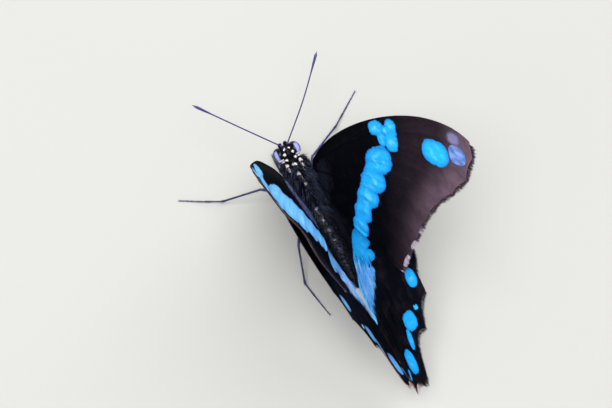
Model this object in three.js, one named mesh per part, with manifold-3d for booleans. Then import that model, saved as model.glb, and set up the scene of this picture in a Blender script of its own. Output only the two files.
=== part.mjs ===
// A green-banded swallowtail butterfly, Papilio nireus, a male at life size. It stands on its six feet
// with the wings raised and pulled back, as when it rests between two flowers.
// Millimetres. +X is the animal's left, -Y is forwards, +Z is up. The feet stand on Z = 0.
//
// The body frame has its origin midway between the forewing hinges and is pitched head up. A wing's own
// frame has its origin at its hinge: t runs out along the wing, s forwards across it, and n is the height
// above the upper side. Sweep, raise and toe turn it into place.
import * as THREE from "three";
import { mergeVertices } from "three/addons/utils/BufferGeometryUtils.js";
import Module from "manifold-3d";

const wasm = await Module();
wasm.setup();

const V = (x, y, z = 0) => new THREE.Vector3(x, y, z);
const rad = THREE.MathUtils.degToRad;
const SIDES = [["left", 1], ["right", -1]];

// ---------------------------------------------------------------- driving dimensions

const HINGES = V(-1.19, -11.50, 8.5);      // midway between the forewing hinges, above the floor
const BODY_PITCH = 8;                     // degrees, head up
const SEAM = 0.15;                        // gap where two parts of the body meet
const WING_THICKNESS = 0.5;

// Each wing's hinge in the body frame, on the left side, and how far it is swept back, raised and toed in.
// flex bends a forewing's outer part inwards and dip sinks the part before it outwards. swell leans a wing's
// inner half inwards, all but its leading edge, as rear does behind the abdomen, and wrap bows its inner fold
// outwards round the abdomen.
const FOREWING = {
  hinge: V(2.55, 0, 0.3),
  left: { sweep: 27.9, raise: 79.0, toe: 8.1, forwards: 0, flex: 0.1, dip: 0.45, swell: 0.8 },
  right: { sweep: 31.3, raise: 74.6, toe: 10.2, forwards: 0, flex: 0, dip: 0, swell: 0 },
};
const HINDWING = {
  hinge: V(2.8, 3, -0.3),
  left: { sweep: -1.3, raise: 79.2, toe: 6.7, forwards: 0.75, swell: 0.75, rear: 0.2, wrap: 0 },
  right: { sweep: 0, raise: 76.4, toe: 4.3, forwards: 0, swell: 0, rear: 0, wrap: 0.5 },
};

// Ends of the veins on the outer margin, from the apex to the rear corner, as (t, s).
const FOREWING_VEINS = {
  R4: V(43.1, 21.4), R5: V(41.9, 17.7), M1: V(38.8, 14.2), M2: V(35.6, 11.2),
  M3: V(32.7, 7.2), Cu1: V(30.5, 3.1), Cu2: V(28.6, -0.2), A2: V(26.6, -4.4),
};
const HINDWING_VEINS = {
  Rs: V(21.0, -14.4), M1: V(20.4, -19.1), M2: V(16.2, -24.7), M3: V(10.1, -32.7), tail: V(8.0, -33.9),
  Cu1: V(4.3, -35.5), Cu2: V(2.6, -33.4), A2: V(0.8, -29.4),
};
// The rest of each outline: the root's width, the leading edge and the inner edge as Bezier curves.
const FOREWING_EDGES = {
  root: [V(0.3, 1.3), V(0.3, -1.7)],
  leading: [V(4.4, 9.6), V(30.5, 25.6), V(42.2, 23.3)],
  inner: [V(6, -5), V(16, -4), V(25.4, -4.9)],
};
const HINDWING_EDGES = {
  root: [V(0.3, 0.9), V(-0.2, -1.9)],
  leading: [V(9, 5.5), V(22.1, 0.5), V(22.2, -10.2)],
  inner: [V(-2.4, -5), V(-2.9, -16), V(-1.2, -25.0)],
};
const FOREWING_SCALLOP = 0.55;            // depth of the hollow between two vein ends
const HINDWING_SCALLOP = 1.1;
const TAIL_SCALLOP = 2.6;                 // the hollow in front of the short blunt tail at M3
const UNDERLAP = 0.5;                     // how far the hindwing bows out where the forewing covers it
const FLEX_FROM = 23;                     // the left forewing bends inwards beyond this distance
const FLEX_LATER = 6;                     // and so much further out in its rear half
const FLEX_ROUND = 2.5;

// Sections of the body: distance behind the hinges, half width, top, underside.
const TRUNK = [
  { at: -2.55, half: 0.95, top: 0.15, under: -1.75 },
  { at: -2.0, half: 1.55, top: 0.85, under: -2.45 },
  { at: -0.9, half: 1.85, top: 1.75, under: -3.05 },
  { at: 0.9, half: 1.87, top: 2.25, under: -3.5 },
  { at: 2.8, half: 1.95, top: 2.05, under: -3.55 },
  { at: 4.4, half: 1.75, top: 1.5, under: -3.1 },
  { at: 5.6, half: 1.45, top: 1.0, under: -2.3 },
];
const ABDOMEN = [
  { at: 5.6, half: 1.3, top: 0.9, under: -2.1 },
  { at: 7.2, half: 1.62, top: 1.15, under: -2.45 },
  { at: 9.6, half: 1.68, top: 1.1, under: -2.6 },
  { at: 12.6, half: 1.5, top: 0.8, under: -2.45 },
  { at: 15.6, half: 1.2, top: 0.4, under: -2.1 },
  { at: 18.2, half: 0.85, top: 0.0, under: -1.75 },
  { at: 19.8, half: 0.45, top: -0.4, under: -1.3 },
];
const ABDOMEN_BEND = 0.6;                 // the abdomen bends to the right over its front two thirds
const HEAD = { at: V(0, -3.8, -0.7), half: V(1.75, 1.26, 1.66) };
const EYE = { at: V(1.28, -3.85, -0.78), half: V(1.0, 1.18, 1.32), inner: 1.0 };
const PALP_RADIUS = 0.33;
const COIL = { at: V(0, -4.3, -3.38), radius: 0.85, tube: 0.27, turns: 1.55 };
const ANTENNA = { base: V(0.46, -4.95, 0.32), shaft: 0.27, club: 0.42 };
const ANTENNA_TIPS = { left: V(10.6, -16.5, 5.9), right: V(-10.0, -15.6, 5.9) };
const ANTENNA_SAG = { left: V(0, 0.1, 0.4), right: V(0, 0.35, 0.3) };   // how far each leaves a straight line

// Joints of each leg on the floor's frame, relative to the point under the hinges: where it leaves the
// thorax, the knee, the ankle and the toe.
const FOOT = 0.2;                         // height of the foot's centreline; its sole is cut flat
const LEG_WIDTHS = { coxa: 0.45, bulge: 0.06, knee: 0.28, ankle: 0.26, toe: 0.26 };
const COXA = { radius: 0.75, length: 2.0, inwards: 0.1, forwards: -0.7 };
const LEGS = {
  fore_left: [V(0.8, -0.9, 4.75), V(1.9, -4.6, 5.5), V(1.5, -2.3, 1.7), V(1.3, -5.4, FOOT)],
  fore_right: [V(-0.8, -0.9, 4.75), V(-1.9, -4.6, 5.5), V(-1.5, -2.3, 1.7), V(-1.3, -5.4, FOOT)],
  mid_left: [V(1.35, 2.1, 4.4), V(6.1, -0.7, 6.0), V(12.0, -2.2, 1.5), V(17.9, -5.5, FOOT)],
  mid_right: [V(-1.35, 2.1, 4.4), V(-3.7, -1.85, 5.3), V(-9.8, -4.9, 2.0), V(-15.5, -8.8, FOOT)],
  hind_left: [V(1.35, 4.2, 4.2), V(4.85, 9.9, 6.0), V(6.15, 15.4, 1.5), V(4.75, 21.5, FOOT)],
  hind_right: [V(-1.35, 4.2, 4.2), V(-4.7, 9.5, 6.0), V(-6.3, 15.0, 1.5), V(-5.3, 21.0, FOOT)],
};

const CHITIN = { color: 0x0b0b10, roughness: 0.45, metalness: 0.1 };
const BODY_SCALES = { color: 0x0c0d12, roughness: 0.8, metalness: 0 };
const WING_SCALES = { color: 0x10141c, roughness: 0.7, metalness: 0 };
const EYE_GLOSS = { color: 0x3a3d55, roughness: 0.2, metalness: 0 };

// ---------------------------------------------------------------- shape helpers

function mesh(name, geometry, look) {
  const made = new THREE.Mesh(geometry, new THREE.MeshStandardMaterial(look));
  made.name = name;
  return made;
}

function geometryOf(points, triangles) {
  const made = new THREE.BufferGeometry();
  made.setAttribute("position", new THREE.Float32BufferAttribute(points.flatMap((p) => [p.x, p.y, p.z]), 3));
  made.setIndex(triangles.flat());
  return facingOut(made);
}

// Turns every face round when the closed geometry is inside out.
function facingOut(geometry) {
  const position = geometry.getAttribute("position");
  const corner = (i) => V(0, 0).fromBufferAttribute(position, geometry.index.getX(i));
  let volume = 0;
  for (let i = 0; i < geometry.index.count; i += 3) {
    volume += corner(i).dot(corner(i + 1).cross(corner(i + 2)));
  }
  if (volume < 0) geometry.index.array.reverse();
  return geometry;
}

// A closed solid over a row of rings of points, with its two ends filled.
function skinOver(rings) {
  const count = rings[0].length;
  const points = rings.flat();
  const triangles = [];
  for (let i = 0; i + 1 < rings.length; i++) {
    for (let j = 0; j < count; j++) {
      const next = (j + 1) % count;
      const [a, b, c, d] = [i * count + j, i * count + next, (i + 1) * count + next, (i + 1) * count + j];
      triangles.push([a, b, c], [a, c, d]);
    }
  }
  for (const [ring, start] of [[rings[0], 0], [rings.at(-1), (rings.length - 1) * count]]) {
    const middle = points.length;
    points.push(ring.reduce((sum, p) => sum.add(p), V(0, 0)).divideScalar(count));
    for (let j = 0; j < count; j++) {
      const [a, b] = [start + j, start + (j + 1) % count];
      triangles.push(start ? [a, b, middle] : [b, a, middle]);
    }
  }
  return geometryOf(points, triangles);
}

// A round tube along a curve, its radius given by a function of the share of the way along.
function tube(curve, radiusAt, steps, sides = 6) {
  const frames = curve.computeFrenetFrames(steps);
  const rings = [];
  for (let i = 0; i <= steps; i++) {
    const centre = curve.getPointAt(i / steps);
    const radius = radiusAt(i / steps);
    rings.push(Array.from({ length: sides }, (_, j) => {
      const turn = 2 * Math.PI * (j + 0.5) / sides;
      return centre.clone()
        .addScaledVector(frames.normals[i], radius * Math.cos(turn))
        .addScaledVector(frames.binormals[i], radius * Math.sin(turn));
    }));
  }
  return skinOver(rings);
}

const spline = (...points) => new THREE.CatmullRomCurve3(points, false, "centripetal");
const mix = THREE.MathUtils.lerp;
const smooth = THREE.MathUtils.smoothstep;

function ellipsoid(at, half, across = 18, down = 12) {
  const made = new THREE.SphereGeometry(1, across, down);
  return made.scale(half.x, half.y, half.z).translate(at.x, at.y, at.z);
}

function solid(geometry) {
  const bare = geometry.clone();
  bare.deleteAttribute("normal");
  bare.deleteAttribute("uv");
  const merged = mergeVertices(bare, 1e-5);
  return new wasm.Manifold(new wasm.Mesh({
    numProp: 3,
    vertProperties: merged.attributes.position.array,
    triVerts: new Uint32Array(merged.index.array),
  }));
}

function fromSolid(manifold) {
  const result = manifold.getMesh();
  const made = new THREE.BufferGeometry();
  made.setAttribute("position", new THREE.BufferAttribute(result.vertProperties, 3));
  made.setIndex(new THREE.BufferAttribute(result.triVerts, 1));
  return made;
}

// The biggest body that a cut leaves.
const largest = (cut) => cut.decompose().sort((a, b) => b.volume() - a.volume())[0];

// ---------------------------------------------------------------- wings

// The outer margin: straight from vein end to vein end, hollowed by a sine arc between each two.
function scalloped(tips, depths, hollowTowards) {
  const cells = tips.length - 1;
  return (a) => {
    const along = Math.min(a * cells, cells - 1e-9);
    const cell = Math.floor(along);
    const share = along - cell;
    const chord = tips[cell].clone().lerp(tips[cell + 1], share);
    const inwards = hollowTowards.clone().sub(chord).normalize();
    return chord.addScaledVector(inwards, depths[cell] * Math.sin(Math.PI * share));
  };
}

// A patch filling four edges: P(r, a) runs from the root, r = 0, to the outer margin, r = 1, and from the
// leading edge, a = 0, to the inner edge, a = 1.
function patch(edges, tips, depths) {
  const [front, back] = edges.root;
  const leading = new THREE.CubicBezierCurve3(front, ...edges.leading);
  const inner = new THREE.CubicBezierCurve3(back, ...edges.inner);
  const ends = [edges.leading[2], ...tips, edges.inner[2]];
  const margin = scalloped(ends, depths, front.clone().lerp(back, 0.5));
  return (r, a) => {
    const point = front.clone().lerp(back, a).multiplyScalar(1 - r).addScaledVector(margin(a), r);
    point.addScaledVector(leading.getPoint(r), 1 - a).addScaledVector(inner.getPoint(r), a);
    point.addScaledVector(front, -(1 - r) * (1 - a)).addScaledVector(back, -(1 - r) * a);
    return point.addScaledVector(margin(0), -r * (1 - a)).addScaledVector(margin(1), -r * a);
  };
}

// A closed solid of even thickness over a patch, bowed by heightAt(point, a). The left side is side = 1.
function wingSolid(shape, heightAt, side, alongSteps, acrossSteps) {
  const points = [];
  for (const face of [0.5, -0.5]) {
    for (let i = 0; i <= alongSteps; i++) {
      for (let j = 0; j <= acrossSteps; j++) {
        const p = shape(i / alongSteps, j / acrossSteps);
        points.push(V(side * p.x, -p.y, heightAt(p, j / acrossSteps) + face * WING_THICKNESS));
      }
    }
  }
  const width = acrossSteps + 1;
  const layer = width * (alongSteps + 1);
  const triangles = [];
  const quad = (a, b, c, d) => triangles.push([a, b, c], [a, c, d]);
  for (let i = 0; i < alongSteps; i++) {
    for (let j = 0; j < acrossSteps; j++) {
      const at = i * width + j;
      quad(at, at + width, at + width + 1, at + 1);
      quad(layer + at, layer + at + 1, layer + at + width + 1, layer + at + width);
    }
    for (const [edge, flip] of [[i * width, false], [i * width + acrossSteps, true]]) {
      if (flip) quad(edge, edge + width, layer + edge + width, layer + edge);
      else quad(edge + width, edge, layer + edge, layer + edge + width);
    }
  }
  for (let j = 0; j < acrossSteps; j++) {
    const far = alongSteps * width + j;
    quad(j, j + 1, layer + j + 1, layer + j);
    quad(far + 1, far, layer + far, layer + far + 1);
  }
  return geometryOf(points, triangles);
}

// Turns a wing's flat frame into the body frame: swept back, raised, then toed in.
function hung(wing, pose, hinge, side) {
  wing.rotation.z = side * rad(pose.sweep);
  const joint = new THREE.Group();
  joint.rotation.set(0, -side * rad(pose.raise), side * rad(pose.toe), "ZYX");
  joint.position.set(side * hinge.x, hinge.y - pose.forwards, hinge.z);
  joint.add(wing);
  return joint;
}

function forewing(name, side) {
  const tips = Object.values(FOREWING_VEINS);
  const depths = [0, ...tips.slice(1).map(() => FOREWING_SCALLOP), 0];
  const pose = FOREWING[name];
  const bow = (p) => {
    const level = p.y - 0.62 * p.x;
    const past = p.x - FLEX_FROM - FLEX_LATER * smooth(-level, 8.5, 14.5);
    const bent = pose.flex * 0.5 * (past + Math.hypot(past, FLEX_ROUND));
    const sunk = pose.dip * smooth(p.x, 14, 22) * smooth(level, -8.5, -4);
    const leading = 1.25 * smooth(p.y - 0.66 * p.x, -0.5, 4);
    return bent - sunk + pose.swell * smooth(p.x, 0, 7) * (1 - smooth(p.x, 13, 20)) * (1 - leading);
  };
  const shape = patch(FOREWING_EDGES, tips, depths);
  const cells = tips.length + 1;
  const wing = mesh("forewing_" + name, wingSolid(shape, bow, side, 9, cells * 3), WING_SCALES);
  return hung(wing, pose, FOREWING.hinge, side);
}

function hindwing(name, side) {
  const tips = Object.values(HINDWING_VEINS);
  const [hollow, deep] = [HINDWING_SCALLOP, TAIL_SCALLOP];
  const depths = [0, hollow, hollow, deep, 0, hollow, hollow, hollow, 0];
  const pose = HINDWING[name];
  const bow = (p, a) => {
    const back = -p.y;
    const covered = -UNDERLAP * (1 - smooth(a, 0.1, 0.4)) * smooth(p.length(), 1, 9);
    const fold = smooth(back, 3, 9) - 0.6 * smooth(back, 15, 18.5) + 0.6 * smooth(back, 18.5, 27);
    const wrapped = -pose.wrap * fold * (1 - smooth(p.x, 1, 5));
    // The swell leans inwards over the abdomen's shoulder, and past its tip reaches the wing's inner edge.
    const crest = 2.6 - 4.1 * smooth(back, 15, 19) + 0.68 * Math.max(0, back - 24);
    const held = smooth(back, 15, 21);
    const rise = mix(held, 1, smooth(p.x, crest - 2, crest)) * (1 - smooth(p.x, crest, crest + 8));
    const most = mix(pose.swell, pose.rear, smooth(back, 15, 25)) * smooth(back, 2, 9);
    return covered + wrapped + most * rise;
  };
  const shape = patch(HINDWING_EDGES, tips, depths);
  const cells = tips.length + 1;
  const wing = mesh("hindwing_" + name, wingSolid(shape, bow, side, 8, cells * 3), WING_SCALES);
  return hung(wing, pose, HINDWING.hinge, side);
}

// ---------------------------------------------------------------- body

// A rounded section across the body: fuller below its widest line than above it.
function section({ at, half, top, under, aside = 0 }, sides = 16) {
  const middle = mix(under, top, 0.55);
  return Array.from({ length: sides }, (_, j) => {
    const turn = 2 * Math.PI * j / sides;
    const rise = Math.sin(turn);
    return V(aside + half * Math.cos(turn), at, middle + rise * (rise > 0 ? top - middle : middle - under));
  });
}

// Smooths a short list of sections into many, and closes both ends with a rounded tip.
function trunkSolid(sections, steps, roundFront, roundBack, asideAt = () => 0) {
  const widths = spline(...sections.map((s) => V(s.half, s.at, 0)));
  const tops = spline(...sections.map((s) => V(s.top, s.at, 0)));
  const unders = spline(...sections.map((s) => V(s.under, s.at, 0)));
  const rings = [];
  for (let i = 0; i <= steps; i++) {
    const share = i / steps;
    const at = widths.getPoint(share);
    rings.push({ at: at.y, half: at.x, top: tops.getPoint(share).x, under: unders.getPoint(share).x });
  }
  const cap = (ring, reach) => {
    const centre = (ring.top + ring.under) / 2;
    const shrink = (value, share) => centre + (value - centre) * share;
    return [0.4, 0.8].map((out) => {
      const share = Math.sqrt(1 - out * out);
      return { at: ring.at + out * reach, half: ring.half * share, top: shrink(ring.top, share),
        under: shrink(ring.under, share) };
    });
  };
  const front = roundFront ? cap(rings[0], -roundFront).reverse() : [];
  const back = roundBack ? cap(rings.at(-1), roundBack) : [];
  return skinOver([...front, ...rings, ...back].map((ring) => section({ ...ring, aside: asideAt(ring.at) })));
}

// A point of the floor's frame, under the hinges, in the body frame.
function inBody(point) {
  return point.clone().sub(V(0, 0, HINGES.z)).applyAxisAngle(V(1, 0), rad(BODY_PITCH));
}

// The coxae, the legs' first joints, are fixed to the underside of the thorax.
function coxa(hip, grow = 0) {
  const end = inBody(hip);
  const start = end.clone().add(V(-Math.sign(hip.x) * COXA.inwards, COXA.forwards, COXA.length));
  const radiusAt = (share) => mix(COXA.radius, LEG_WIDTHS.coxa, share) + grow;
  return solid(tube(new THREE.LineCurve3(start, end), radiusAt, 2, 8));
}

function torso() {
  const trunk = solid(trunkSolid(TRUNK, 9, 0, 0));
  const joined = Object.values(LEGS).reduce((sum, [hip]) => sum.add(coxa(hip)), trunk);
  const thorax = mesh("thorax", fromSolid(joined), BODY_SCALES);
  const bend = (at) => -ABDOMEN_BEND * smooth(at, 4.5, 14);
  const abdomen = mesh("abdomen", trunkSolid(ABDOMEN, 11, 0, 0.45, bend), BODY_SCALES);
  abdomen.position.y = SEAM;
  return [thorax, abdomen];
}

function headParts() {
  const sockets = SIDES.map(([, side]) => {
    const at = V(side * EYE.at.x, EYE.at.y, EYE.at.z);
    const outer = new THREE.BoxGeometry(4, 4, 4).translate(side * (EYE.inner + 2), at.y, at.z);
    return solid(ellipsoid(at, EYE.half.clone().addScalar(SEAM))).intersect(solid(outer));
  });
  const skull = solid(ellipsoid(HEAD.at, HEAD.half));
  const neck = solid(trunkSolid([
    { at: HEAD.at.y, half: 0.9, top: 0.2, under: -1.7 },
    { at: TRUNK[0].at - SEAM, half: 0.85, top: 0.1, under: -1.65 },
  ], 2, 0, 0));
  const cut = sockets.reduce((left, socket) => left.subtract(socket), skull.add(neck));
  const eyes = SIDES.map(([name, side]) => {
    const at = V(side * EYE.at.x, EYE.at.y, EYE.at.z);
    const outer = new THREE.BoxGeometry(4, 4, 4).translate(side * (EYE.inner + SEAM + 2), at.y, at.z);
    return mesh("eye_" + name, fromSolid(solid(ellipsoid(at, EYE.half)).intersect(solid(outer))), EYE_GLOSS);
  });
  return [mesh("head", fromSolid(cut), BODY_SCALES), ...eyes];
}

// The two labial palps rise in front of the face.
function palps() {
  return SIDES.map(([name, side]) => {
    const curve = spline(V(side * 0.42, -4.7, -2.6), V(side * 0.45, -5.3, -1.9), V(side * 0.4, -5.4, -1.2));
    const taper = (share) => PALP_RADIUS * Math.sqrt(Math.sin(Math.PI * mix(0.12, 0.93, share)));
    return mesh("palp_" + name, tube(curve, taper, 6, 8), BODY_SCALES);
  });
}

// The feeding tube is coiled like a watch spring under the face.
function proboscis() {
  const { at, radius, tube: thick, turns } = COIL;
  const points = [];
  const count = 18;
  for (let i = 0; i <= count; i++) {
    const turn = 2 * Math.PI * turns * i / count;
    const reach = mix(radius, 0.2, i / count);
    points.push(V(0, at.y + reach * Math.sin(turn), at.z + reach * Math.cos(turn)));
  }
  const taper = (share) => mix(thick, 0.17, share);
  return mesh("proboscis", tube(spline(...points), taper, 30, 6), CHITIN);
}

function antennae() {
  return SIDES.map(([name, side]) => {
    const base = V(side * ANTENNA.base.x, ANTENNA.base.y, ANTENNA.base.z);
    const tip = ANTENNA_TIPS[name];
    const bend = base.clone().lerp(tip, 0.5).add(ANTENNA_SAG[name]);
    const club = (share) => mix(ANTENNA.shaft, ANTENNA.club, smooth(share, 0.72, 0.95)) * (share === 1 ? 0.5 : 1);
    return mesh("antenna_" + name, tube(spline(base, bend, tip), club, 15), CHITIN);
  });
}

// ---------------------------------------------------------------- legs

// The shin runs from knee to ankle. The thigh and the foot are cut back round its two ends by the seam.
function shin(knee, ankle, grow = 0) {
  const radiusAt = (share) => mix(LEG_WIDTHS.knee, LEG_WIDTHS.ankle, share) + grow;
  return tube(new THREE.LineCurve3(knee, ankle), radiusAt, 4);
}

function thigh(hip, knee) {
  const { coxa, knee: thin, bulge } = LEG_WIDTHS;
  const radiusAt = (share) => mix(coxa, thin, share) + bulge * Math.sin(Math.PI * share);
  return tube(new THREE.LineCurve3(hip, knee), radiusAt, 4);
}

// The foot curves down to the floor and lies along it, with its sole cut flat.
function foot(ankle, toe) {
  const heel = ankle.clone().lerp(toe, 0.6).setZ(FOOT + 0.12);
  const curve = spline(ankle, heel, toe.clone().lerp(heel, 0.4), toe);
  const radiusAt = (share) => mix(LEG_WIDTHS.ankle, LEG_WIDTHS.toe, share);
  const floor = new THREE.BoxGeometry(60, 60, 4).translate(ankle.x, ankle.y, -2);
  return solid(tube(curve, radiusAt, 9, 8)).subtract(solid(floor));
}

// The thighs are made in the body frame, where they are cut back round the coxae as well.
function thighs() {
  return Object.entries(LEGS).map(([name, [hip, knee, ankle]]) => {
    const full = solid(thigh(inBody(hip), inBody(knee)));
    const shinClearance = solid(shin(inBody(knee), inBody(ankle), SEAM));
    const cut = full.subtract(coxa(hip, SEAM)).subtract(shinClearance);
    return mesh("femur_" + name, fromSolid(largest(cut)), CHITIN);
  });
}

function shinsAndFeet() {
  return Object.entries(LEGS).flatMap(([name, [, knee, ankle, toe]]) => {
    const cut = foot(ankle, toe).subtract(solid(shin(knee, ankle, SEAM)));
    return [
      mesh("tibia_" + name, shin(knee, ankle), CHITIN),
      mesh("tarsus_" + name, fromSolid(largest(cut)), CHITIN),
    ];
  });
}

// ---------------------------------------------------------------- assembly

const body = new THREE.Group();
body.position.copy(HINGES);
body.rotation.x = -rad(BODY_PITCH);
body.add(...torso(), ...headParts(), ...palps(), proboscis(), ...antennae(), ...thighs());
for (const [name, side] of SIDES) body.add(forewing(name, side), hindwing(name, side));

const stance = new THREE.Group();
stance.position.set(HINGES.x, HINGES.y, 0);
stance.add(...shinsAndFeet());

const butterfly = new THREE.Group();
butterfly.add(body, stance);

export default butterfly;
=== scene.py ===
"""The finish of a green-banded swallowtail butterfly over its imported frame.

Lengths are in millimetres until a mesh is made. The body frame has its origin between the forewing hinges,
with +X to the animal's left, -Y forwards and +Z up. A wing is drawn flat as (t, s): t runs out along it and
s forwards across it.
"""

import math

import bpy
import numpy as np
from mathutils import Matrix, Vector


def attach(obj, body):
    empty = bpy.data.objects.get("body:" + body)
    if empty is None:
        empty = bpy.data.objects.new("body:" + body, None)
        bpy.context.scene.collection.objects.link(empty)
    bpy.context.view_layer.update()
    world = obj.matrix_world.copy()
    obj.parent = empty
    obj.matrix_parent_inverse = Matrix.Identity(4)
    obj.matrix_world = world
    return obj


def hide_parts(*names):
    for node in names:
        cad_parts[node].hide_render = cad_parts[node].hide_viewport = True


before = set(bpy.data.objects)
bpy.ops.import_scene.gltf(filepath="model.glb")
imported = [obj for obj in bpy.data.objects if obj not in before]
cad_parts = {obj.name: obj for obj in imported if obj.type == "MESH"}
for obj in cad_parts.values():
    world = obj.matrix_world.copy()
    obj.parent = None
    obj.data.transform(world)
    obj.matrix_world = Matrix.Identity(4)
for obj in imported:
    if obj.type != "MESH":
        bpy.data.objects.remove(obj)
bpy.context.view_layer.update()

MM = 0.001
SIDES = (("left", 1), ("right", -1))

# ------------------------------------------------------------------ driving dimensions, as in the solids

HINGES = np.array((-1.19, -11.50, 8.5))
BODY_PITCH = 8.0

FOREWING = {
    "hinge": (2.55, 0.0, 0.3),
    "left": {"sweep": 27.9, "raise": 79.0, "toe": 8.1, "forwards": 0.0,
             "flex": 0.1, "dip": 0.45, "swell": 0.8},
    "right": {"sweep": 31.3, "raise": 74.6, "toe": 10.2, "forwards": 0.0,
              "flex": 0.0, "dip": 0.0, "swell": 0.0},
    "root": ((0.3, 1.3), (0.3, -1.7)),
    "leading": ((4.4, 9.6), (30.5, 25.6), (42.2, 23.3)),
    "inner": ((6.0, -5.0), (16.0, -4.0), (25.4, -4.9)),
    "tips": ((43.1, 21.4), (41.9, 17.7), (38.8, 14.2), (35.6, 11.2), (32.7, 7.2), (30.5, 3.1), (28.6, -0.2),
             (26.6, -4.4)),
    "hollows": (0, 0.55, 0.55, 0.55, 0.55, 0.55, 0.55, 0.55, 0),
}
HINDWING = {
    "hinge": (2.8, 3.0, -0.3),
    "left": {"sweep": -1.3, "raise": 79.2, "toe": 6.7, "forwards": 0.75, "swell": 0.75, "rear": 0.55,
             "wrap": 0.0, "tuck": 0.0},
    "right": {"sweep": 0.0, "raise": 76.4, "toe": 4.3, "forwards": 0.0, "swell": 0.0, "rear": 0.06,
              "wrap": 0.5, "tuck": 0.2},
    "root": ((0.3, 0.9), (-0.2, -1.9)),
    "leading": ((9.0, 5.5), (22.1, 0.5), (22.2, -10.2)),
    "inner": ((-2.4, -5.0), (-2.9, -16.0), (-1.2, -25.0)),
    "tips": ((21.0, -14.4), (20.4, -19.1), (16.2, -24.7), (10.1, -32.7), (8.0, -33.9), (4.3, -35.5),
             (2.6, -33.4), (0.8, -29.4)),
    "hollows": (0, 1.1, 1.1, 2.6, 0, 1.1, 1.1, 1.1, 0),
}
# Veins on each wing's patch, as (share of the way out, share of the way from leading to inner edge).
FOREWING_VEINS = (
    ((0, 0.08), (0.12, 0.03), (0.45, 0.0)),
    ((0, 0.3), (0.12, 0.2), (0.5, 0.13), (1, 1 / 9)),
    ((0.28, 0.16), (0.62, 0.0)), ((0.4, 0.14), (0.74, 0.0)), ((0.58, 0.12), (0.9, 0.0)),
    ((0.54, 0.17), (1, 2 / 9)), ((0.54, 0.24), (1, 3 / 9)), ((0.51, 0.36), (1, 4 / 9)),
    ((0, 0.55), (0.2, 0.58), (0.45, 0.57), (0.52, 0.5), (1, 5 / 9)),
    ((0.45, 0.57), (1, 6 / 9)), ((0.28, 0.585), (1, 7 / 9)), ((0, 0.85), (0.5, 0.87), (1, 8 / 9)),
    ((0.5, 0.13), (0.54, 0.17), (0.54, 0.24), (0.51, 0.36), (0.52, 0.5)),
)
HINDWING_VEINS = (
    ((0, 0.12), (0.2, 0.05), (0.75, 0.0)),
    ((0, 0.3), (0.14, 0.26), (1, 1 / 9)), ((0.14, 0.26), (0.42, 0.3), (1, 2 / 9)), ((0.46, 0.4), (1, 3 / 9)),
    ((0.46, 0.5), (1, 4.5 / 9)), ((0, 0.55), (0.25, 0.62), (0.42, 0.58), (1, 6 / 9)),
    ((0.25, 0.62), (1, 7 / 9)), ((0, 0.82), (0.5, 0.85), (1, 8 / 9)),
    ((0.42, 0.3), (0.46, 0.4), (0.46, 0.5), (0.42, 0.58)),
)
WING_PLEAT = 0.14
MEMBRANE = 0.05
VEIN_RISE = 0.075
VEIN_WIDTH = 0.17
ROOT_RISE = 0.12
# Where the left forewing's inward bend starts, how much further out in its rear half, and how round it is.
FLEX = {"from": 23, "later": 6, "round": 2.5}

# Sections of the body: distance behind the hinges, half width, top, underside.
TRUNK = (
    (-2.55, 0.95, 0.15, -1.75), (-2.0, 1.55, 0.85, -2.45), (-0.9, 1.85, 1.75, -3.05), (0.9, 1.87, 2.25, -3.5),
    (2.8, 1.95, 2.05, -3.55), (4.4, 1.75, 1.5, -3.1), (5.6, 1.45, 1.0, -2.3),
)
ABDOMEN = (
    (5.6, 1.3, 0.9, -2.1), (7.2, 1.62, 1.15, -2.45), (9.6, 1.68, 1.1, -2.6), (12.6, 1.5, 0.8, -2.45),
    (15.6, 1.2, 0.4, -2.1), (18.2, 0.85, 0.0, -1.75), (19.8, 0.45, -0.4, -1.3),
)
ABDOMEN_BEND = 0.6
SEGMENT = {"from": 5.6, "length": 1.95, "swell": 0.07}
COAT_DEPTH = 0.13
# Lumps on both sides, at the wing roots, the collar and the bases of the feelers: middle, half sizes, and the
# number of faces round and down.
LUMPS = (
    ((1.5, -1.2, 0.5), (0.75, 1.35, 0.9), 32, 20),
    ((2.0, 0.4, 0.3), (0.7, 1.3, 0.7), 32, 20),
    ((2.05, 3.1, -0.25), (0.75, 1.7, 0.7), 32, 20),
    ((1.4, 5.9, -0.6), (0.62, 2.5, 0.9), 32, 20),
    ((0.95, -2.1, 0.05), (0.62, 0.75, 0.6), 28, 18),
    ((0.42, -4.6, 0.15), (0.34, 0.4, 0.38), 24, 16),
)
BROW = {"at": (0, -3.7, 0.05), "half": (1.0, 1.2, 0.8)}
SKIN_GRAIN = 0.11
HEAD = {"at": (0, -3.8, -0.7), "half": (1.62, 1.28, 1.66)}
EYE = {"at": (1.28, -3.85, -0.78), "half": (1.0, 1.18, 1.32)}
# The bright patch of each eye, a painted reflection on its bluish bloom, in degrees round it from its outer
# side.
EYE_PAINTED_SHINE = {"left": (26, 60), "right": (34, 76)}
PALP = {"line": ((0.42, -4.65, -2.6), (0.46, -5.2, -1.95), (0.42, -5.3, -1.2)), "thick": 0.27,
        "hair_ahead": (0.4, -5.2, 0.6)}
COIL = {"at": (0, -4.3, -3.38), "radius": 0.85, "end": 0.2, "turns": 1.55, "tube": 0.13, "apart": 0.085}
FEELER = {
    "base": (0.46, -4.95, 0.32),
    "left": {"tip": (10.6, -16.5, 5.9), "sag": (0, 0.1, 0.4)},
    "right": {"tip": (-10.0, -15.6, 5.9), "sag": (0, 0.35, 0.3)},
    "shaft": 0.105, "club": 0.21, "rings": 36,
}
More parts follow.
